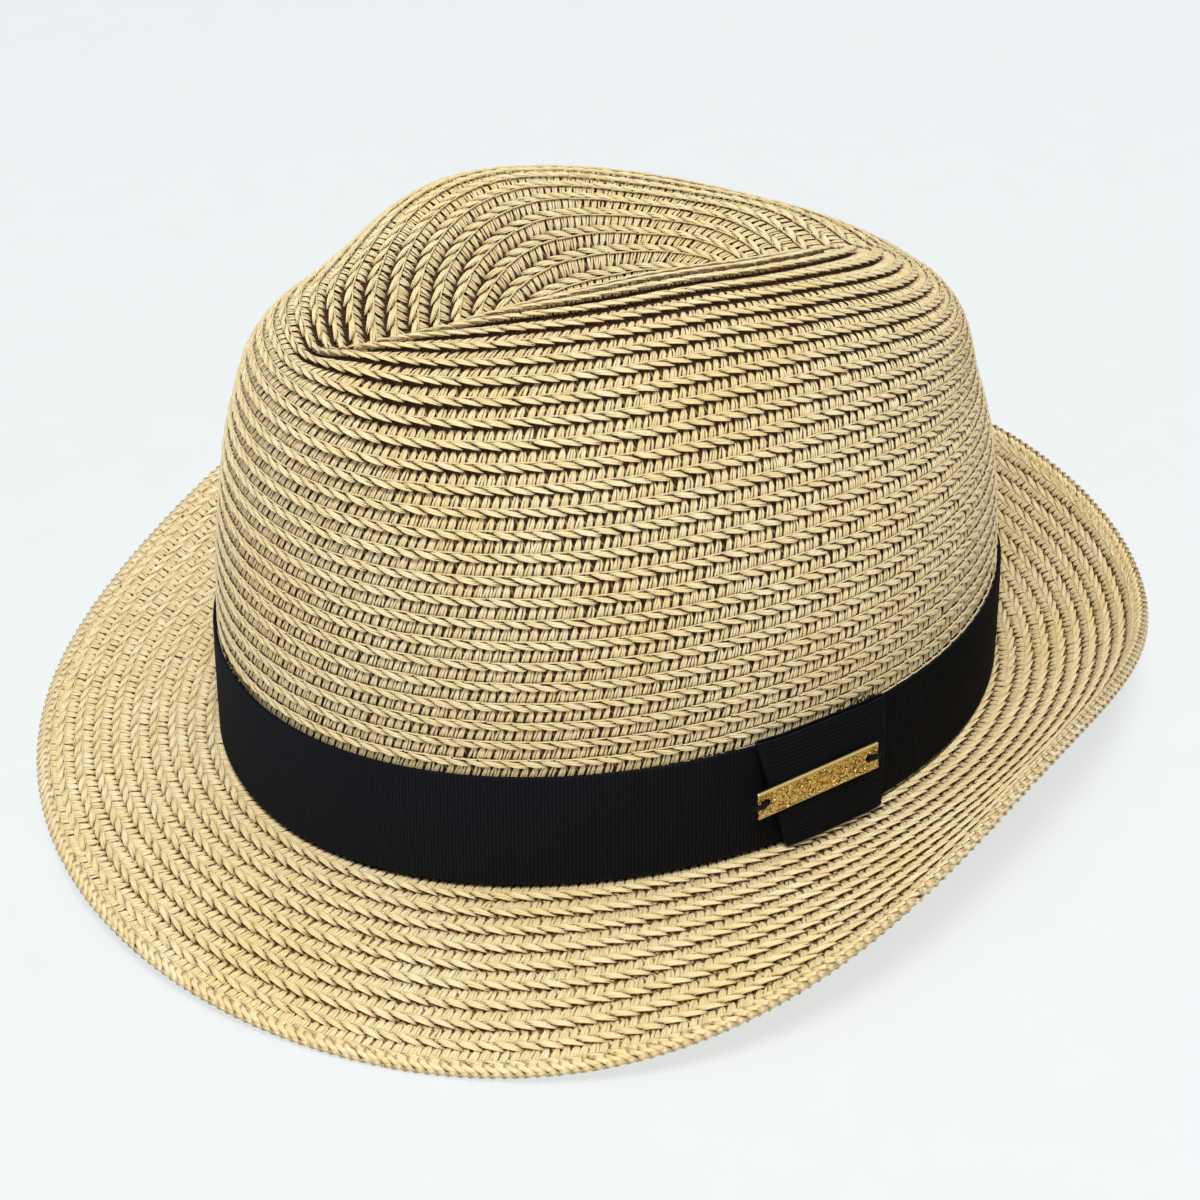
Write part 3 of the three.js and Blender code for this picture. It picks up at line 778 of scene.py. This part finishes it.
def sewn_braid(name, node, rounds, kept, style, level_turns=0.0, first=0.0):
    """The visible straw and its sewing thread on the rounds whose row passes `kept`."""
    straw, thread = Strands(), Strands()
    units = units_along(rounds, first, rounds.last, style["unit"], level_turns)
    stitches = units_along(rounds, first, rounds.last, style["stitch"], level_turns)
    braid(straw, rounds, only(units, kept(units[1])), style)
    sewing(thread, rounds, only(stitches, kept(stitches[1])), style)
    for piece in straw.pieces(f"{name}_straw"):
        finish_piece(piece, STRAW, [node])
    for piece in thread.pieces(f"{name}_stitching"):
        finish_piece(piece, SEWING_THREAD, [node])


def on_the_wall(row):
    covered = (row > BAND_COVERS[0]) & (row < BAND_COVERS[1])
    return (row < WALL_RISE / CROWN_PITCH) & ~covered


def on_the_top(row):
    return row >= WALL_RISE / CROWN_PITCH


def on_the_brim(row):
    return row < BRIM_ROUNDS - 0.2


CROWN_FIRST_ROW = -0.1

sewn_braid("crown_side", "crown_side", CrownRounds, on_the_wall, CROWN_STYLE, first=CROWN_FIRST_ROW)
sewn_braid("crown_top", "crown_top", CrownRounds, on_the_top, CROWN_STYLE, first=CROWN_FIRST_ROW)
sewn_braid("brim", "brim_braid", BrimRounds, on_the_brim, BRIM_STYLE, level_turns=1.0)


UNDERSIDE_UNIT = 2.6


def brim_underside():
    """The braid's back, seen under the brim: fat slanting strands without the chain on top."""
    under = Strands()
    units = units_along(BrimRounds, 0.05, BrimRounds.last - 0.4, UNDERSIDE_UNIT, level_turns=1.0)
    n = len(units[0])
    tall = BrimRounds.pitch
    for low, high, lean in ((0.1, 0.55, 1.3), (0.5, 1.02, -1.3)):
        shape = stations(
            (-lean, tall * low, -0.85),
            (-lean * 0.5, tall * (low * 0.72 + high * 0.28), -0.4),
            (lean * 0.5, tall * (low * 0.28 + high * 0.72), -0.4),
            (lean, tall * high, -0.85),
        )
        path = np.repeat(shape[None], n, axis=0)
        path[..., 0] += noise((n, 1), 0.15)
        wide = np.array([0.5, 0.72, 0.72, 0.5])
        under.add(BrimRounds, units, path, wide, wide * 0.6, 5, tone=rng.random(n), side=-1.0)
    return under.pieces("brim_underside")


for piece in brim_underside():
    finish_piece(piece, STRAW, ["brim_braid"])


BACKING_COLUMNS = 300


def backing(name, rounds, first, last, per_row, outer, inner, relief):
    """The closed layer of braid behind the visible strands, ridged inside where rounds overlap. Its outer
    face, seen through the gaps, gets painted shade from its material.
    """
    rows = int((last - first) * per_row) + 1
    angle = round_the_hat(BACKING_COLUMNS)
    row = np.linspace(first, last, rows)[None, :]
    angle_grid, row_grid = np.broadcast_arrays(angle, row)
    outside = lay_on(rounds, angle_grid, row_grid, np.full(row_grid.shape, outer))
    ridge = inner - relief * ((row_grid + angle_grid / TURN) % 1.0)
    inside = lay_on(rounds, angle_grid, row_grid, ridge)
    return shell(name, outside, inside, (250.0, BACKING_MAP_HEIGHT))


piece = backing("crown_backing", CrownRounds, 0.02, CrownRounds.last + 0.42,
                per_row=4, outer=-1.75, inner=-2.0, relief=0.3)
finish_piece(piece, INNER_STRAW, ["crown_side", "crown_top"])
piece = backing("brim_backing", BrimRounds, 0.1, BrimRounds.last + 0.4,
                per_row=3, outer=-1.5, inner=-1.85, relief=0.05)
finish_piece(piece, BRIM_INNER_STRAW, ["brim_braid"])


def corner_backing():
    """The fold of braid where the crown's wall turns out into the brim, coloured all over with the backing's
    painted shade.
    """
    angle = round_the_hat(BACKING_COLUMNS)[:, 0]
    section = ((-1.5, 0.9), (-1.5, -1.75), (-2.0, -1.75), (-2.0, 0.9))
    walls = [crown(angle, 0 * angle, inward) + [0, 0, lift] for inward, lift in section]
    return grid_object("corner_backing", np.stack(walls, axis=1), uv_scale=(250.0, 3.0))


finish_piece(corner_backing(), INNER_STRAW, ["crown_side"])


class RimRounds:
    """The rim: `row` runs round its section, 0 at the inner side, 1 at the outer, then back underneath."""

    centre_out, centre_lift = 1.15, -1.2
    section = (1.0, 0.8)
    pitch = math.pi * 0.95

    @staticmethod
    def at(angle, row, offset=0.0):
        turn = math.pi * (1.0 - row)
        out = brim_width(angle) - RimRounds.centre_out + (RimRounds.section[0] + offset) * np.cos(turn)
        lift = RimRounds.centre_lift + (RimRounds.section[1] + offset) * np.sin(turn)
        return brim(angle, out, lift)


RIM_UNIT = 2.5
RIM_CORE_RADIUS = 0.7


def rim_rope():
    """The last round's folded edge: leaves of straw twisted along the rim, under the top chain."""
    strands = Strands()
    angle = units_along(BrimRounds, 0.0, 0.0, RIM_UNIT, level_turns=1.0)[0]
    n, row = len(angle), np.zeros(len(angle))
    _, _, radian, _ = directions(RimRounds, angle, row + 0.5)
    lean = RIM_UNIT
    for start, end in ((0.25, 0.95), (0.85, 1.55), (1.45, 2.1)):
        shape = stations(
            (-lean, RimRounds.pitch * start, -0.8),
            (-lean * 0.6, RimRounds.pitch * (start * 0.8 + end * 0.2), -0.3),
            (lean * 0.1, RimRounds.pitch * (start * 0.45 + end * 0.55), -0.22),
            (lean, RimRounds.pitch * end, -0.8),
        )
        path = np.repeat(shape[None], n, axis=0)
        path[..., 0] += noise((n, 1), 0.15)
        path[..., 1] -= path[..., 0] / radian[:, None] / TURN * RimRounds.pitch
        wide = np.array([0.5, 0.75, 0.72, 0.3])
        strands.add(RimRounds, (angle, row, radian), path, wide, wide * 0.55, 6, tone=rng.random(n))
    return strands.pieces("brim_edge_straw")


for piece in rim_rope():
    finish_piece(piece, STRAW, ["brim_edge"])


# The rim's core, between the rope's strands, coloured all over with the brim backing's painted shade.
def rim_core():
    angle = round_the_hat(BACKING_COLUMNS)
    turn = np.linspace(0, TURN, 12, endpoint=False)[None, :]
    out = brim_width(angle) - RimRounds.centre_out + RIM_CORE_RADIUS * np.cos(turn)
    lift = RimRounds.centre_lift + RIM_CORE_RADIUS * np.sin(turn) + 0 * angle
    return grid_object("brim_edge_core", brim(angle + 0 * turn, out, lift), uv_scale=(250.0, 3.0))


finish_piece(rim_core(), BRIM_INNER_STRAW, ["brim_edge"])


# ---------------- ribbon
RIBBON_OFFSET = 0.3
RIBBON_THICKNESS = 0.6
BAND_BOTTOM, BAND_TOP = 1.4, 31.5
BAND_RIB = 0.85


def ribbon_waves(angle, rise):
    """Slight slackness of the band, which only ever lifts it off the straw."""
    wave = np.sin(angle * 9 + rise * 0.05) * np.sin(angle * 4 + 1) * 0.5 + 0.5
    return 0.22 * wave


def hat_band():
    girth = TURN * (HALF_WIDTH + EXTRA_LENGTH / 2)
    columns = int(girth / BAND_RIB) * 4
    angle = round_the_hat(columns)
    levels = np.concatenate([[0, 0.012], np.linspace(0.05, 0.95, 8), [0.988, 1]])
    rise = BAND_BOTTOM + levels[None, :] * (BAND_TOP - BAND_BOTTOM)
    angle_grid, rise_grid = np.broadcast_arrays(angle, rise)
    rib = 0.5 + 0.5 * np.cos(np.arange(columns)[:, None] / 4 * TURN)
    edge = np.minimum(levels, 1 - levels)[None, :]
    roundness = np.clip(edge / 0.012, 0, 1)
    outside = RIBBON_OFFSET + RIBBON_THICKNESS * (0.6 + 0.4 * roundness) - 0.24 * (1 - rib) * roundness
    outside = outside + ribbon_waves(angle_grid, rise_grid)
    inside = np.full(rise_grid.shape, RIBBON_OFFSET - 0.05)
    outer = crown(angle_grid, rise_grid, outside)
    return shell("band_ribbon", outer, crown(angle_grid, rise_grid, inside), (590, 60))


band = finish_piece(hat_band(), BAND_RIBBON, ["hat_band"])

BOW_FRONT_Y, BOW_FRONT_LEAN, BOW_BACK_Y = -13.5, 8.5, 22.5
BOW_BOTTOM, BOW_TOP = 1.6, 34.0
BOW_RIB = 1.1
TAIL_FRONT_Y, TAIL_TOP = 4.0, 32.6
SEAM_GAP = 0.3
BOW_DEPTH = 1.8
TAIL_OUTER = 2 * SEAM_GAP + 2 * RIBBON_THICKNESS
BOW_INNER = TAIL_OUTER + SEAM_GAP
BOW_OUTER = BOW_INNER + BOW_DEPTH


def at_y(y, rise, offset):
    angle = np.arcsin(np.clip(y / (HALF_WIDTH + EXTRA_LENGTH), -1, 1))
    return crown(angle, rise, offset)


def bow_loop():
    """A ribbon folded flat into a loop, open above and below, with a slanting front fold."""
    across, up = 96, 200
    turn = np.linspace(0, 1, across)[:, None] * TURN
    c, s = np.cos(turn), np.sin(turn)
    mid, gap, layer = (BOW_INNER + BOW_OUTER) / 2, 0.62, 0.5
    rise = np.linspace(BOW_BOTTOM, BOW_TOP, up)[None, :]
    share = (rise - BOW_BOTTOM) / (BOW_TOP - BOW_BOTTOM)
    front = BOW_FRONT_Y + BOW_FRONT_LEAN * (1 - share)

    def surface(half_gap, inset, ribs):
        flattened = np.sign(c) * np.abs(c) ** 0.12
        y = (front + BOW_BACK_Y) / 2 + flattened * ((BOW_BACK_Y - front) / 2 - inset)
        lift = mid + half_gap * np.sign(s) * np.abs(s) ** 0.35 + 0 * rise
        puff = 0.35 * np.sin(share * math.pi) * (lift > mid)
        rib = ribs * np.cos((rise + 0 * y) / BOW_RIB * TURN) * (lift > mid)
        return at_y(y, rise + 0 * y, lift + puff + rib)

    outer = surface(gap + layer / 2, 0.0, 0.1)[:-1]
    inner = surface(gap - layer / 2, layer, 0.0)[:-1]
    return shell("bow_ribbon", outer, inner, (80, 60))


bow = finish_piece(bow_loop(), BOW_RIBBON, ["bow_loop"])


def flat_patch(name, front, back, low, high, inner, outer, columns, rows):
    y = np.linspace(front, back, columns)[:, None]
    rise = np.linspace(low, high, rows)[None, :]
    y_grid, rise_grid = np.broadcast_arrays(y, rise)
    near_side = np.minimum(y_grid - front, back - y_grid)
    near = np.minimum(near_side, np.minimum(rise_grid - low, high - rise_grid))
    swell = np.clip(near / 0.4, 0, 1) ** 0.5
    front_face = at_y(y_grid, rise_grid, inner + (outer - inner) * (0.3 + 0.7 * swell))
    back_face = at_y(y_grid, rise_grid, np.full(y_grid.shape, inner))
    return closed_patch(name, front_face, back_face)


def closed_patch(name, front_face, back_face):
    """A closed slab from two matching grids of points."""
    columns, rows, _ = front_face.shape
    index = np.arange(columns * rows).reshape(columns, rows)
    other = index + columns * rows

    def squares(grid):
        return np.stack([grid[:-1, :-1], grid[1:, :-1], grid[1:, 1:], grid[:-1, 1:]], -1).reshape(-1, 4)

    def outline(grid):
        return np.concatenate([grid[:, 0], grid[-1, 1:], grid[-2::-1, -1], grid[0, -2:0:-1]])

    rim, rim2 = outline(index), outline(other)
    sides = np.stack([np.roll(rim, -1), rim, rim2, np.roll(rim2, -1)], -1)
    quads = np.concatenate([squares(index), squares(other)[:, ::-1], sides])
    points = np.concatenate([front_face.reshape(-1, 3), back_face.reshape(-1, 3)])
    mesh = mesh_from(name, points, quads.ravel(), np.full(len(quads), 4))
    flat = np.stack(np.meshgrid(np.arange(columns), np.arange(rows), indexing="ij"), -1).reshape(-1, 2)
    add_map(mesh, "Fibre", np.concatenate([flat, flat])[quads.ravel()] * 0.5)
    return object_from(mesh)


tail = flat_patch("bow_tail_ribbon", TAIL_FRONT_Y, BOW_BACK_Y - 1.5, BOW_BOTTOM + 0.6, TAIL_TOP,
                  TAIL_OUTER - RIBBON_THICKNESS, TAIL_OUTER, 40, 60)
finish_piece(tail, BAND_RIBBON, ["bow_tail"])


def tube(name, paths, radius, sides=6):
    """Separate round threads along (n, stations, 3) millimetre paths, as one piece."""
    n = len(paths)
    along = np.gradient(paths, axis=1)
    along /= np.maximum(np.linalg.norm(along, axis=-1, keepdims=True), 1e-9)
    side = np.cross(along, np.array([0.31, 0.52, 0.8]))
    side /= np.maximum(np.linalg.norm(side, axis=-1, keepdims=True), 1e-9)
    over = np.cross(along, side)
    turn = np.arange(sides) / sides * TURN
    ring = paths[:, :, None] + radius * (
        side[:, :, None] * np.cos(turn)[:, None] + over[:, :, None] * np.sin(turn)[:, None]
    )
    return strand_object(name, [(ring, travelled(paths), rng.random(n), np.zeros(n), 1.0)])


def frayed_threads():
    """Short loops of warp thread left standing at the cut top of the bow's tail."""
    paths = []
    for y in np.linspace(BOW_BACK_Y - 13, BOW_BACK_Y - 2.5, 9):
        tall, lean = rng.uniform(0.8, 2.2), rng.uniform(-0.5, 1.0)
        s = np.linspace(0, math.pi, 9)
        ys = y + 0.55 * -np.cos(s) + lean * np.sin(s) * 0.5
        rises = TAIL_TOP + 0.6 + tall * np.sin(s)
        offsets = TAIL_OUTER - 0.2 + 0.5 * np.sin(s) * rng.uniform(0.2, 1)
        paths.append(at_y(ys, rises, offsets))
    return tube("bow_tail_fray", np.array(paths), 0.17)


finish_piece(frayed_threads(), BLACK_THREAD, ["bow_tail"])


# ---------------- metal plate
PLATE_LENGTH, PLATE_HEIGHT, PLATE_THICKNESS = 34.0, 7.4, 0.8
PLATE_MIDDLE_Y, PLATE_RISE = 2.4, 18.6
NOTCH_RADIUS, NOTCH_DEPTH, NOTCH_MOUTH = 1.2, 2.4, 0.7
DENTS, DENT_DEPTH, DEEPEST_DENT = 330, 0.3, 0.42
BLACK_THREAD_RADIUS = 0.2


def bow_frame():
    """Axes on the front of the bow: along the plate, up it and out of it."""
    at = at_y(PLATE_MIDDLE_Y, PLATE_RISE, BOW_OUTER + SEAM_GAP)
    out = at_y(PLATE_MIDDLE_Y, PLATE_RISE, 10.0) - at_y(PLATE_MIDDLE_Y, PLATE_RISE, 0.0)
    out /= np.linalg.norm(out)
    along = np.array([0.0, 1.0, 0.0]) - out * out[1]
    along /= np.linalg.norm(along)
    return at, along, np.cross(out, along), out


BOW_AT, BOW_ALONG, BOW_UP, BOW_OUT = bow_frame()


def on_bow(points):
    points = np.asarray(points, float)
    return BOW_AT + points[..., :1] * BOW_ALONG + points[..., 1:2] * BOW_UP + points[..., 2:] * BOW_OUT


def plate():
    columns, rows = 220, 56
    x = np.linspace(-PLATE_LENGTH / 2, PLATE_LENGTH / 2, columns)[:, None]
    y = np.linspace(-PLATE_HEIGHT / 2, PLATE_HEIGHT / 2, rows)[None, :]
    xg, yg = np.broadcast_arrays(x, y)
    inward = np.minimum(PLATE_LENGTH / 2 - np.abs(xg), PLATE_HEIGHT / 2 - np.abs(yg))
    rim = 1 - ease(0.55, 0.9, inward)
    dents = np.zeros(xg.shape)
    for _ in range(DENTS):
        cx, cy = rng.uniform(-17, 17), rng.uniform(-3.4, 3.4)
        turn, long, wide = rng.uniform(0, math.pi), rng.uniform(0.5, 1.3), rng.uniform(0.24, 0.42)
        dx, dy = xg - cx, yg - cy
        p, q = dx * math.cos(turn) + dy * math.sin(turn), -dx * math.sin(turn) + dy * math.cos(turn)
        dents -= DENT_DEPTH * np.exp(-((p / long) ** 2) - (q / wide) ** 2)
    dents = np.maximum(dents, -DEEPEST_DENT) * (1 - rim)
    corner = 0.26 * (1 - ease(0.0, 0.5, inward))
    top = PLATE_THICKNESS + 0.06 * rim + dents - corner
    face, back = (np.stack([xg, yg, height], -1) for height in (top, np.zeros(xg.shape)))
    slab = closed_patch("plate_slab", face, back)
    for end in (-1, 1):
        cutter = notch_cutter(end)
        cut = slab.modifiers.new("notch", "BOOLEAN")
        cut.operation, cut.object, cut.solver = "DIFFERENCE", cutter, "EXACT"
        settle(slab)
        bpy.data.objects.remove(cutter)
    mesh = slab.data
    points = np.empty(len(mesh.vertices) * 3, np.float32)
    mesh.vertices.foreach_get("co", points)
    mesh.vertices.foreach_set("co", packed(on_bow(points.reshape(-1, 3) / MM) * MM))
    mesh.update()
    slab.name = mesh.name = "hammered_plate"
    return slab


def settle(piece):
    """Replaces a piece's mesh with its modified one."""
    graph = bpy.context.evaluated_depsgraph_get()
    made = bpy.data.meshes.new_from_object(piece.evaluated_get(graph))
    piece.modifiers.clear()
    piece.data = made


def notch_cutter(end):
    """A keyhole: a round hole with a narrow mouth at the plate's end."""
    bm = bmesh.new()
    bottom = []
    centre = end * (PLATE_LENGTH / 2 - NOTCH_DEPTH)
    reach = math.asin(NOTCH_MOUTH / NOTCH_RADIUS)
    for a in np.linspace(reach, TURN - reach, 33):
        bottom.append((centre + end * NOTCH_RADIUS * math.cos(a), NOTCH_RADIUS * math.sin(a)))
    bottom.append((end * (PLATE_LENGTH / 2 + 1), -NOTCH_MOUTH))
    bottom.append((end * (PLATE_LENGTH / 2 + 1), NOTCH_MOUTH))
    rings = []
    for z in (-1.0, 2.0):
        rings.append([bm.verts.new((x * MM, y * MM, z * MM)) for x, y in bottom])
        bm.faces.new(rings[-1])
    for i in range(len(bottom)):
        j = (i + 1) % len(bottom)
        bm.faces.new((rings[0][i], rings[0][j], rings[1][j], rings[1][i]))
    bmesh.ops.recalc_face_normals(bm, faces=bm.faces)
    mesh = bpy.data.meshes.new("notch")
    bm.to_mesh(mesh)
    return object_from(mesh)


finish_piece(plate(), GOLD, ["metal_plate"])


def plate_thread(side):
    """Black thread that passes over the plate's end through the notch, in four strands."""
    end = PLATE_LENGTH / 2
    paths = []
    for k in range(4):
        v = (k - 1.5) * 0.34
        stops = np.array([
            (side * (end - NOTCH_DEPTH), v, 0.1),
            (side * (end - NOTCH_DEPTH + 0.25), v * 1.1, 0.75),
            (side * (end - 1.1), v * 1.05, 1.15 - abs(v) * 0.25),
            (side * (end - 0.2), v, 1.1 - abs(v) * 0.25),
            (side * (end + 0.7), v * 0.9, 0.7),
            (side * (end + 1.25), v * 0.8, 0.0),
        ])
        t = np.linspace(0, len(stops) - 1, 15)
        curve = [np.interp(t, np.arange(len(stops)), stops[:, j]) for j in range(3)]
        paths.append(on_bow(np.stack(curve, -1)))
    name = "front" if side < 0 else "back"
    return tube(f"plate_stitches_{name}", np.array(paths), BLACK_THREAD_RADIUS)


for side, node in ((-1, "plate_thread_front"), (1, "plate_thread_back")):
    finish_piece(plate_thread(side), BLACK_THREAD, [node])


# ---------------- inside
SWEATBAND_TOP = 33.0
SWEATBAND_THICKNESS = 0.8
SEAM_HEIGHT = 7.5
SEAM_STITCHES = 184
SEAM_THREAD_RADIUS = 0.26
LABEL_HALF_LENGTH = 12.0
LABEL_FOOT, LABEL_TOP = 12.0, 24.0


def rise_at_height(angle, height, offset):
    """Distance up the braid at which the crown's face is `height` above the settled base."""
    low, high = np.zeros_like(angle), np.full_like(angle, WALL_RISE)
    for _ in range(24):
        middle = (low + high) / 2
        below = crown(angle, middle, offset)[..., 2] - SHIFT[2] < height
        low, high = np.where(below, middle, low), np.where(below, high, middle)
    return (low + high) / 2


def inner_wall(angle, height, offset):
    point = crown(angle, rise_at_height(angle, height, offset), offset)
    point[..., 2] = height + SHIFT[2]
    return point


def sweatband():
    columns = 720
    angle = round_the_hat(columns)
    levels = np.concatenate([[0, 0.02], np.linspace(0.06, 0.94, 12), [0.98, 1]])[None, :]
    height = SWEATBAND_FOOT + levels * (SWEATBAND_TOP - SWEATBAND_FOOT)
    angle_grid, height_grid = (x.copy() for x in np.broadcast_arrays(angle, height))
    rib = 0.04 * np.cos(np.arange(columns)[:, None] * math.pi) + 0 * height_grid
    edge = np.clip(np.minimum(levels, 1 - levels) / 0.02, 0, 1)
    wave = 0.12 * np.sin(angle_grid * 11 + 2) * (levels**2)
    near = -(BRAID_THICKNESS + SEAM_GAP) - 0 * height_grid
    far = near - SWEATBAND_THICKNESS * (0.55 + 0.45 * edge) + rib + wave
    face, back = inner_wall(angle_grid, height_grid, near), inner_wall(angle_grid, height_grid, far)
    return shell("sweatband_tape", face, back, (560, 30))


band_inside = finish_piece(sweatband(), SWEATBAND_TAPE, ["sweatband"])


def seam_stitches():
    s = np.linspace(-1, 1, 7)
    angle = (np.arange(SEAM_STITCHES)[:, None] + s * 0.4) / SEAM_STITCHES * TURN
    face = BRAID_THICKNESS + SEAM_GAP + SWEATBAND_THICKNESS + 0.05
    bulge = -face - 0.45 * np.sqrt(np.maximum(1 - s**2, 0)) + 0 * angle
    height = np.full(angle.shape, SEAM_HEIGHT)
    return tube("sweatband_stitches", inner_wall(angle, height, bulge), SEAM_THREAD_RADIUS)


finish_piece(seam_stitches(), SEWING_THREAD, ["sweatband_seam"])


def size_label():
    columns, rows = 72, 36
    half = LABEL_HALF_LENGTH / (HALF_WIDTH - BRAID_THICKNESS)
    angle = math.pi / 2 + np.linspace(half, -half, columns)[:, None]
    height = np.linspace(LABEL_FOOT, LABEL_TOP, rows)[None, :]
    angle_grid, height_grid = (x.copy() for x in np.broadcast_arrays(angle, height))
    outer = -(BRAID_THICKNESS + 2 * SEAM_GAP + SWEATBAND_THICKNESS)
    bulge = 0.12 * np.sin(np.linspace(0, math.pi, rows))[None, :]
    face = inner_wall(angle_grid, height_grid, outer - 0.4 - bulge + 0 * angle_grid)
    back = inner_wall(angle_grid, height_grid, np.full(angle_grid.shape, outer))
    return closed_patch("size_label_tape", face[::-1], back[::-1])


label = finish_piece(size_label(), LABEL_TAPE, ["size_label"])

# ---------------- floor, light and camera
bpy.ops.mesh.primitive_plane_add(size=12, location=(0, 0, 0))
floor = bpy.context.object
floor.name = "floor"
floor.data.materials.append(floor_material())

world = bpy.data.worlds.new("Studio")
bpy.context.scene.world = world
world.use_nodes = True
sky = world.node_tree.nodes["Background"].inputs
sky["Color"].default_value = (0.93, 0.97, 1.0, 1)
sky["Strength"].default_value = 0.38


LIGHT_AIM = Vector((0, 0, 0.05))


def softbox(name, place, size, power, colour):
    light = bpy.data.lights.new(name, "AREA")
    light.shape, light.size, light.energy, light.color = "SQUARE", size, power, colour
    box = bpy.data.objects.new(name, light)
    box.location = place
    box.rotation_euler = (LIGHT_AIM - Vector(place)).to_track_quat("-Z", "Y").to_euler()
    bpy.context.collection.objects.link(box)


softbox("key", (0.1, 0.0, 2.4), 2.2, 10, (1.0, 0.975, 0.94))
softbox("side", (0.78, -0.34, 1.75), 0.5, 25.5, (1.0, 0.967, 0.895))
softbox("fill", (1.3, -1.9, 1.2), 1.6, 6, (0.96, 0.98, 1.0))

camera_data = bpy.data.cameras.new("camera")
camera = bpy.data.objects.new("camera", camera_data)
bpy.context.collection.objects.link(camera)
camera_data.lens = 75.83
camera_data.sensor_width = 36
camera_data.shift_x, camera_data.shift_y = -0.0117, -0.0319
AZIMUTH, ELEVATION, DISTANCE = math.radians(60.07), math.radians(33.04), 649.3
AIM_HEIGHT = 30
back = np.array([
    math.sin(AZIMUTH) * math.cos(ELEVATION),
    -math.cos(AZIMUTH) * math.cos(ELEVATION),
    math.sin(ELEVATION),
])
right = np.array([math.cos(AZIMUTH), math.sin(AZIMUTH), 0.0])
up = np.cross(back, right)
place = (settled(*(back * DISTANCE + [0, 0, AIM_HEIGHT])) + SHIFT) * MM
axes = [settled(*a) for a in (right, up, back)]
camera.matrix_world = Matrix(
    [[float(axes[j][i]) for j in range(3)] + [float(place[i])] for i in range(3)] + [[0, 0, 0, 1]]
)
camera_data.clip_start, camera_data.clip_end = 0.05, 20
bpy.context.scene.camera = camera
bpy.context.scene.view_settings.view_transform = "Standard"
